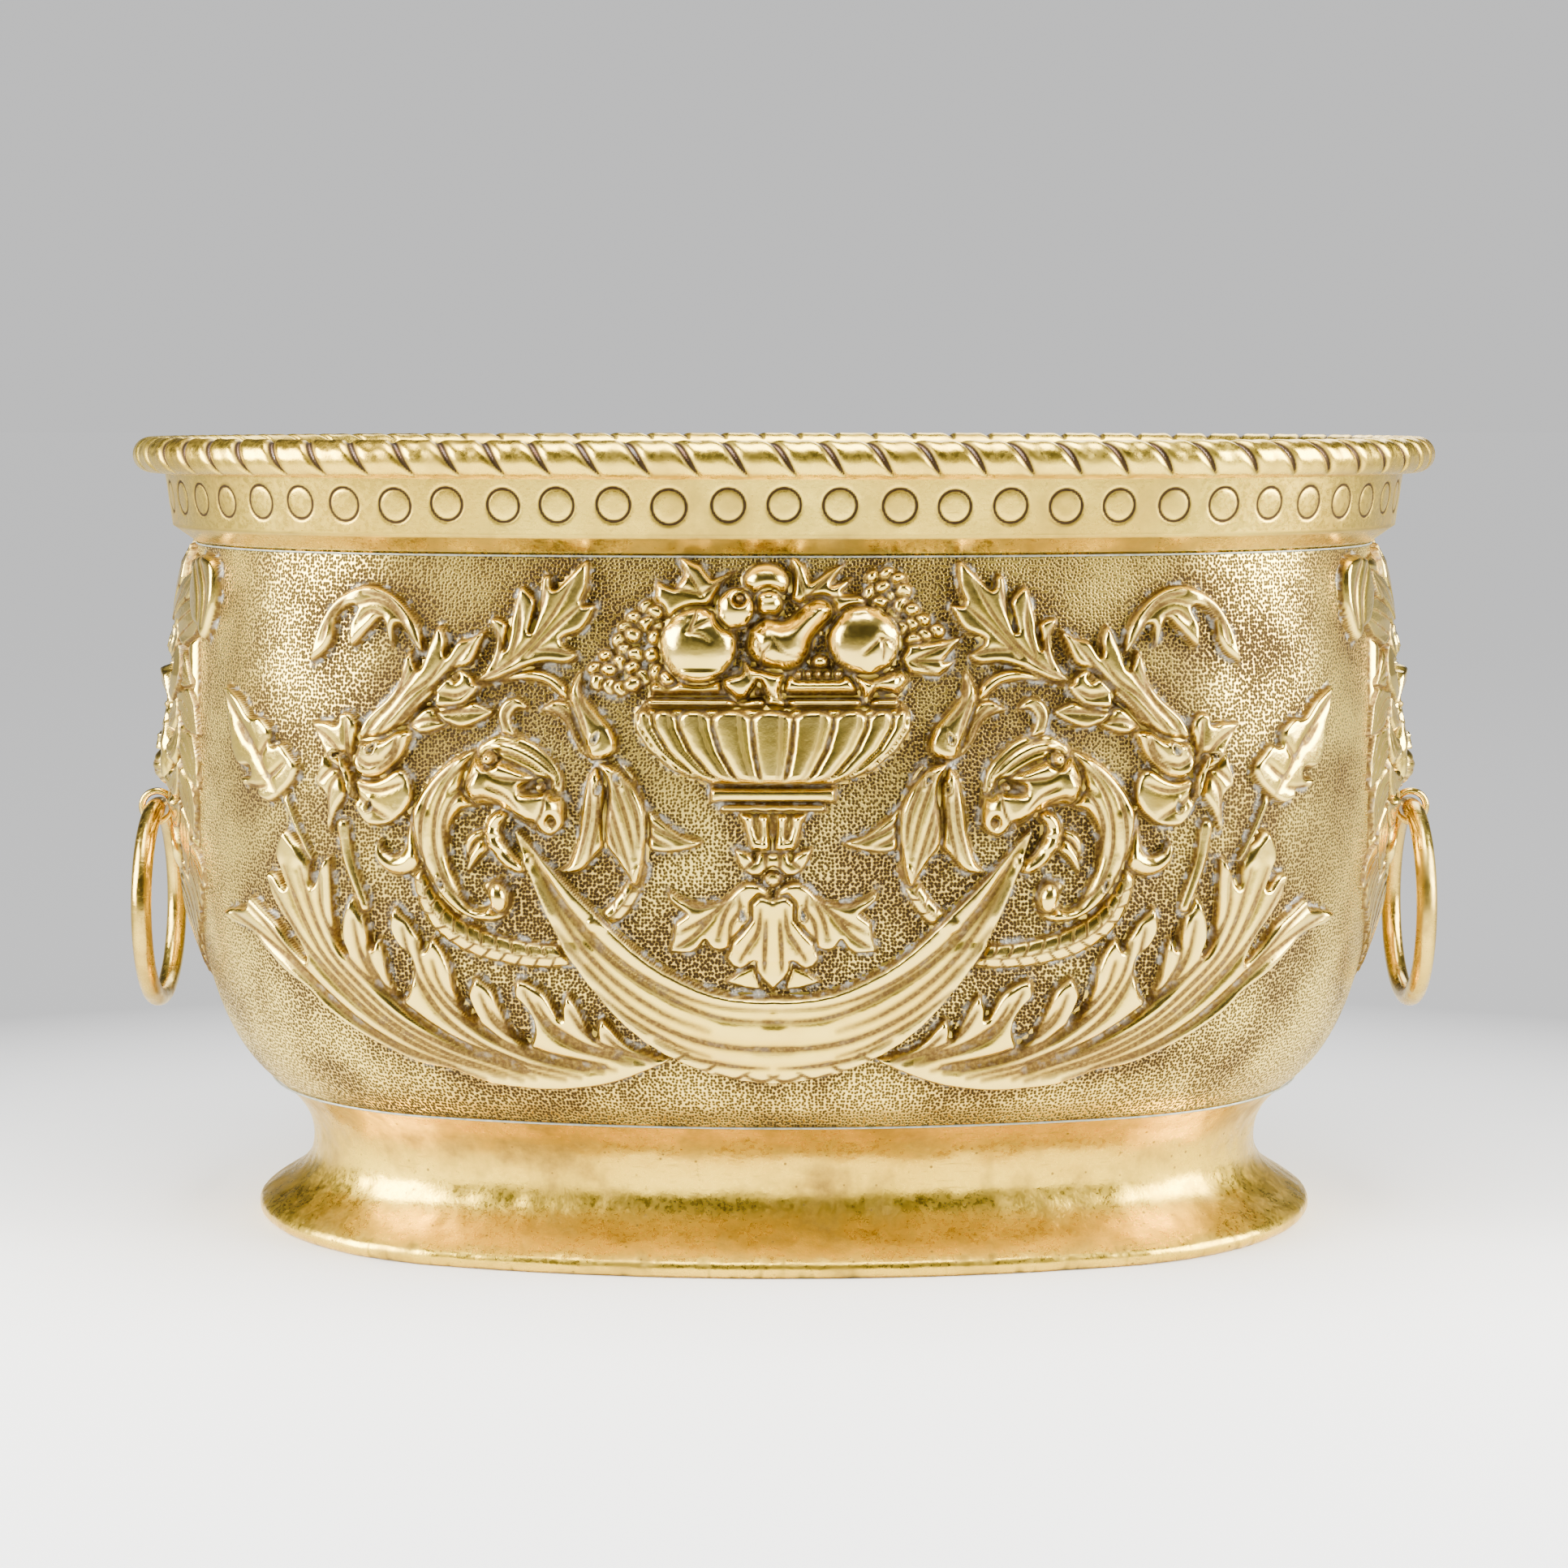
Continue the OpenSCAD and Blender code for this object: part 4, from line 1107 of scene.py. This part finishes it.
def lion_mask_relief(step):
    s = np.arange(-84, 84 + step, step)
    z = np.arange(86, 274 + step, step)
    r = Relief(s, z)
    gs, gz = np.meshgrid(s, z)
    envelope, u = mask_envelope(gs, gz)
    # low ground of the casting, then the locks of the mane laid over it, outermost first
    r.patch([(d, zz) for d, zz in [(0, 93), (22, 102), (38, 113), (50, 128), (58, 145), (63, 165), (64, 200),
                                   (62, 222), (58, 240), (66, 252), (52, 268), (0, 270), (-52, 268), (-66, 252),
                                   (-58, 240), (-62, 222), (-64, 200), (-63, 165), (-58, 145), (-50, 128),
                                   (-38, 113), (-22, 102)]], 3.2, 5, True)
    for side in (-1, 1):
        def at(*points):
            return [(side * d, zz) for d, zz in points]
        for k in range(9):  # beard locks, from the cheek down to the point
            t = k / 8
            start = (40 - 26 * t, 150 - 16 * t)
            tip = (66 - 60 * t, 140 - 46 * t ** 0.8)
            bow = (0.5 * (start[0] + tip[0]) + 4, 0.5 * (start[1] + tip[1]) + 4)
            r.ribbon(at(start, bow, tip), [2, 6, 7.2, 5.5, 0.8], [4, 5.5, 5.0, 3.4], flutes=3, flat=0.3, seed=k)
        for k in range(7):  # mane locks round the face, outer row
            a = math.radians(-38 + 20 * k)
            start = (36 * math.cos(a), 190 + 34 * math.sin(a))
            tip = (68 * math.cos(a - 0.18), 186 + 60 * math.sin(a - 0.14))
            bow = (54 * math.cos(a + 0.12), 189 + 49 * math.sin(a + 0.12))
            r.ribbon(at(start, bow, tip), [3, 7.5, 8.5, 6.5, 1], [4.5, 6, 5.2, 3], flutes=4, flat=0.25, seed=k)
        for k in range(6):  # inner row, curled back
            a = math.radians(-25 + 21 * k)
            start = (28 * math.cos(a), 188 + 27 * math.sin(a))
            tip = (50 * math.cos(a + 0.1), 188 + 46 * math.sin(a + 0.1))
            bow = (42 * math.cos(a - 0.16), 187 + 38 * math.sin(a - 0.16))
            r.ribbon(at(start, bow, tip), [2.5, 6, 6.5, 4.5, 0.8], [5.5, 7.5, 6.5, 4.5], flutes=3, flat=0.25)
        for k in range(4):  # crest: a palmette whose lobes droop to the sides
            top = [(10, 271), (30, 270), (52, 262), (70, 247)][k]
            bow = [(7, 252), (22, 254), (40, 253), (56, 246)][k]
            r.ribbon(at((3 + 2 * k, 230), bow, top), [2.5, 6, 8.5, 8, 2.2], [6, 8, 8, 5], flutes=3, flat=0.35,
                     seed=k)
        # face: cheek, ear, brow, eye, nose and muzzle, of a lion
        r.patch(at((0, 226), (14, 228), (26, 222), (31, 208), (32, 192), (28, 176), (20, 164), (0, 162)), 7.5, 9,
                True)
        r.ribbon(at((33, 213), (41, 222), (37, 230), (28, 226)), [3, 5.2, 4.6, 2], 8.5, flutes=1)
        r.ribbon(at((4, 212), (11, 219), (22, 219), (29, 210)), [3.5, 5.2, 4.6, 1.4], [10.5, 11, 10, 7])
        r.dome(side * 15, 207.5, 7.2, 4.6, 2.2, turn=10 * side, ring=0.8)
        r.dome(side * 14.6, 207.5, 3.1, 3.1, 8.2, ring=0.55)
        r.ribbon(at((25, 200), (29, 190), (25, 178)), [3, 6.5, 4], 8.5)
        r.dome(side * 9.5, 183, 11, 9, 12.0, turn=-18 * side)
        for k in range(3):
            relief_line(r, at((6, 186 - 3.4 * k), (13, 184.6 - 3.4 * k), (19, 186 - 3.4 * k)), 0.5, 0.5)
        r.ribbon(at((2, 171), (12, 169.5), (20, 172), (25, 178)), [1.2, 1.5, 1.3, 0.6], 6.0)
        r.ribbon(at((2, 160), (10, 158), (16, 150), (12, 140)), [3.5, 5, 5, 1], [8.0, 8.5, 7.5, 5], flutes=2)
    r.ribbon([(0, 214), (0, 203), (0, 194)], [5.5, 4.4, 6.2], [10.5, 12.0, 14.5])
    r.patch([(-8.5, 196), (8.5, 196), (6.5, 189), (0, 186), (-6.5, 189)], 14.2, 3, True)
    for side in (-1, 1):
        r.dome(side * 4.4, 191, 1.5, 1.1, 0.8, ring=0.7)
    r.ribbon([(0, 164), (0, 150), (0, 112)], [4.5, 6, 6.5, 5, 0.6], [8.2, 8, 4], flutes=3)
    r.ribbon([(0, 229), (0, 250), (0, 272)], [3.5, 7.5, 8.5, 3], [8, 9, 8, 5], flutes=3, flat=0.3)
    for row in range(2):
        for k in range(-3 - row, 4 + row):
            r.leaf((k * 7.5, 224 + 4 * row), (k * 8.6, 236 + 6 * row), 4.0, 8.4 - row)
    r.height = np.minimum(r.height, envelope - 0.1)
    # the mouth, a dark slot for the eye of the ring
    slot = np.clip(1.6 - np.abs(gs), 0, 1) * (np.abs(gz - eye_height()) < 8.5)
    r.height = np.where(slot > 0, np.minimum(r.height, 0.3), r.height)
    r.cut = np.maximum(r.cut, slot)
    return r


def eye_height():
    low, high = box_mm("eye_right")
    return (low[2] + high[2]) / 2


def masks(material):
    section = body_section()
    step = 0.7
    relief = lion_mask_relief(step)
    sink = 0.7
    rise = np.where(relief.polished > 0.35, np.maximum(relief.height, 0.25), -sink)
    shown = blur((relief.polished > 0.3).astype(float), 3) > 0.01
    d, z = np.meshgrid(relief.s, relief.z)
    half = np.interp(z, section[:, 1], section[:, 0])
    slope = np.gradient(np.interp(relief.z, section[:, 1], section[:, 0]), relief.z)[:, None]
    tilt = 1 / np.sqrt(1 + slope ** 2)
    run = quarter - np.abs(d)
    x, y, nx, ny = on_oval(run, half)
    y, ny = y * np.sign(d), ny * np.sign(d)
    smooth = blur(rise, max(1, round(2.4 / step)))
    groove = np.clip(0.85 * relief.cut + 0.5 * np.clip((smooth - rise) / 1.2, 0, 1), 0, 1)
    cell = shown[:-1, :-1] & shown[1:, :-1] & shown[:-1, 1:] & shown[1:, 1:]
    faces = quads(*shown.shape)[cell.ravel()]
    kept = np.unique(faces)
    index = np.full(shown.size, -1)
    index[kept] = np.arange(len(kept))
    for name, turn in (("mask_right", 1.0), ("mask_left", -1.0)):
        points = np.stack([turn * (x + nx * tilt * rise), turn * (y + ny * tilt * rise), z - slope * tilt * rise],
                          -1).reshape(-1, 3)[kept]
        marks = {"polished": np.ones(len(kept)), "shade_by_relief": np.ones(len(kept)), "groove": groove.ravel()[kept],
                 "residue": 0.5 * relief.cut.ravel()[kept] * (groove.ravel()[kept] < 0.6),
                 "worn": np.clip((rise - smooth).ravel()[kept] / 1.2, 0, 1),
                 "wall": np.stack([d, z, 0 * d], -1).reshape(-1, 3)[kept] * MM}
        piece = mesh_piece(name + "_lion", points, [index[faces][:, ::-1]], marks, "pot")
        piece.data.materials.append(material)
        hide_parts(name)


def worn_ring(name, body_name, material):
    """A drop ring: a rod bent round, a little uneven and worn thin where it hangs."""
    low, high = box_mm(name)
    centre = (low + high) / 2
    rod_r = (high[0] - low[0]) / 2
    ring_r = (high[1] - low[1]) / 2 - rod_r
    turn = np.arange(240) / 240 * 2 * math.pi
    way = np.arange(36) / 36 * 2 * math.pi
    t, w = np.meshgrid(turn, way)
    uneven = 0.05 * value_noise(8 + 7 * np.cos(t), 8 + 7 * np.sin(t), 4) + 0.04 * np.cos(6 * t)
    at_top = dip((t - math.pi / 2) / 0.16, 1.0)
    r = rod_r * (0.985 - 0.02 * (1 + uneven)) - 0.25 * at_top * np.clip(-np.cos(w), 0, 1)
    radial = ring_r + r * np.cos(w)
    points = np.stack([centre[0] + r * np.sin(w), centre[1] + radial * np.cos(t),
                       centre[2] + radial * np.sin(t)], -1)
    groove = 0.6 * at_top * np.clip(-np.cos(w) - 0.3, 0, 1)
    piece = mesh_piece(name + "_rod", points.reshape(-1, 3), [quads(*t.shape, True, True)], {"groove": groove},
                       body_name)
    piece.data.materials.append(material)
    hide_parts(name)


def give(node, material):
    """Puts a material on every slot of a carried-over node."""
    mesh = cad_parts[node].data
    if not mesh.materials:
        mesh.materials.append(material)
    for i in range(len(mesh.materials)):
        mesh.materials[i] = material


# ---------------------------------------------------------------- studio

BACKDROP = (0.76, 0.76, 0.765, 1)


def dim_room():
    """A plain grey backdrop, and for the metal a dim room whose only lights are the lamps."""
    world = bpy.data.worlds.new("studio")
    world.use_nodes = True
    tree = world.node_tree
    place = tree.nodes.new("ShaderNodeTexCoord")
    split = tree.nodes.new("ShaderNodeSeparateXYZ")
    ramp = tree.nodes.new("ShaderNodeValToRGB")
    seen = tree.nodes.new("ShaderNodeLightPath")
    mix = tree.nodes.new("ShaderNodeMix")
    mix.data_type = "RGBA"
    mix.inputs[7].default_value = BACKDROP
    tree.links.new(place.outputs["Generated"], split.inputs[0])
    tree.links.new(split.outputs["Z"], ramp.inputs[0])
    tree.links.new(seen.outputs["Is Camera Ray"], mix.inputs[0])
    tree.links.new(ramp.outputs[0], mix.inputs[6])
    tree.links.new(mix.outputs[2], tree.nodes["Background"].inputs[0])
    stops = ((0.0, 0.42), (0.10, 0.30), (0.28, 0.07), (0.62, 0.05), (0.9, 0.35))
    while len(ramp.color_ramp.elements) < len(stops):
        ramp.color_ramp.elements.new(0.5)
    for element, (at, grey) in zip(ramp.color_ramp.elements, stops):
        element.position = at
        element.color = (grey, grey, grey, 1)
    return world


def studio():
    floor = bpy.data.meshes.new("floor")
    reach = 40.0
    floor.from_pydata([(-reach, -reach, 0), (reach, -reach, 0), (reach, reach, 0), (-reach, reach, 0)], [],
                      [(0, 1, 2, 3)])
    plane = bpy.data.objects.new("floor", floor)
    bpy.context.collection.objects.link(plane)
    m = Shade("pale_floor")
    away = m.add("ShaderNodeVectorMath", {"operation": "DISTANCE"}, i0=m.place, i1=(0, -0.5, 0)).outputs["Value"]
    far = m.band(away, 0.5, 1.0)
    paper = m.mix(m.noise(3, 2), (0.83, 0.83, 0.82, 1), (0.86, 0.86, 0.85, 1))
    m.feed(m.shader.inputs["Emission Color"], m.mix(far, (0, 0, 0, 1), BACKDROP))
    m.shader.inputs["Emission Strength"].default_value = 1.0
    floor.materials.append(m.finish(m.mix(far, paper, (0, 0, 0, 1)), 0.0, 0.8))
    bpy.context.scene.world = dim_room()
    for name, place, size, power in (("key", (-1.75, -0.6, 0.85), 1.3, 155), ("fill", (1.8, -0.5, 0.8), 1.3, 155),
                                     ("top", (0.0, -0.4, 2.3), 1.5, 125), ("back", (0.6, 2.2, 1.7), 1.4, 40)):
        light = bpy.data.lights.new(name, "AREA")
        light.energy = power
        light.size = size
        lamp = bpy.data.objects.new(name, light)
        lamp.location = place
        lamp.rotation_euler = (Vector((0, 0, 0.15)) - Vector(place)).to_track_quat("-Z", "Y").to_euler()
        bpy.context.collection.objects.link(lamp)


def camera():
    data = bpy.data.cameras.new("camera")
    data.sensor_width = 36
    data.lens = 75.4
    view = bpy.data.objects.new("camera", data)
    view.location = (0, -1.340, 0.328)
    view.rotation_euler = (math.radians(90 - 6.57), 0, 0)
    bpy.context.collection.objects.link(view)
    bpy.context.scene.camera = view


# ---------------------------------------------------------------- build

camera()
studio()
chased = chased_brass()
body(chased)
collar_brass = plain_brass("collar_brass", BRASS, DEEP_BRASS, 0.5, 0.2, 60, 0.0002)
rope_rim(plain_brass("rim_brass", BRASS, DEEP_BRASS, 0.45, 0.2, 80, 0.0002))
punched_collar(collar_brass)
foot_brass = plain_brass("foot_brass", (0.86, 0.57, 0.05, 1), (0.72, 0.46, 0.03, 1), 0.75, 0.22, 110, 0.0004, True)
spreading_foot(foot_brass)
masks(chased)
ring_brass = plain_brass("ring_brass", (0.80, 0.57, 0.10, 1), COPPERY, 0.6, 0.15, 120, 0.0003)
for side in ("left", "right"):
    worn_ring("ring_" + side, "ring_" + side, ring_brass)
    give("eye_" + side, ring_brass)
    give("washer_" + side, foot_brass)
give("body_floor", foot_brass)
rust = dull_metal("iron_wire", (0.18, 0.15, 0.13, 1), (0.24, 0.10, 0.045, 1), 180, 0.5, 0.8)
solder = dull_metal("solder", (0.42, 0.42, 0.36, 1), (0.20, 0.22, 0.15, 1), 320, 0.4, 0.6)
for node in ("rim_wire", "foot_wire"):
    give(node, rust)
for node in ("foot_solder", "collar_solder"):
    give(node, solder)
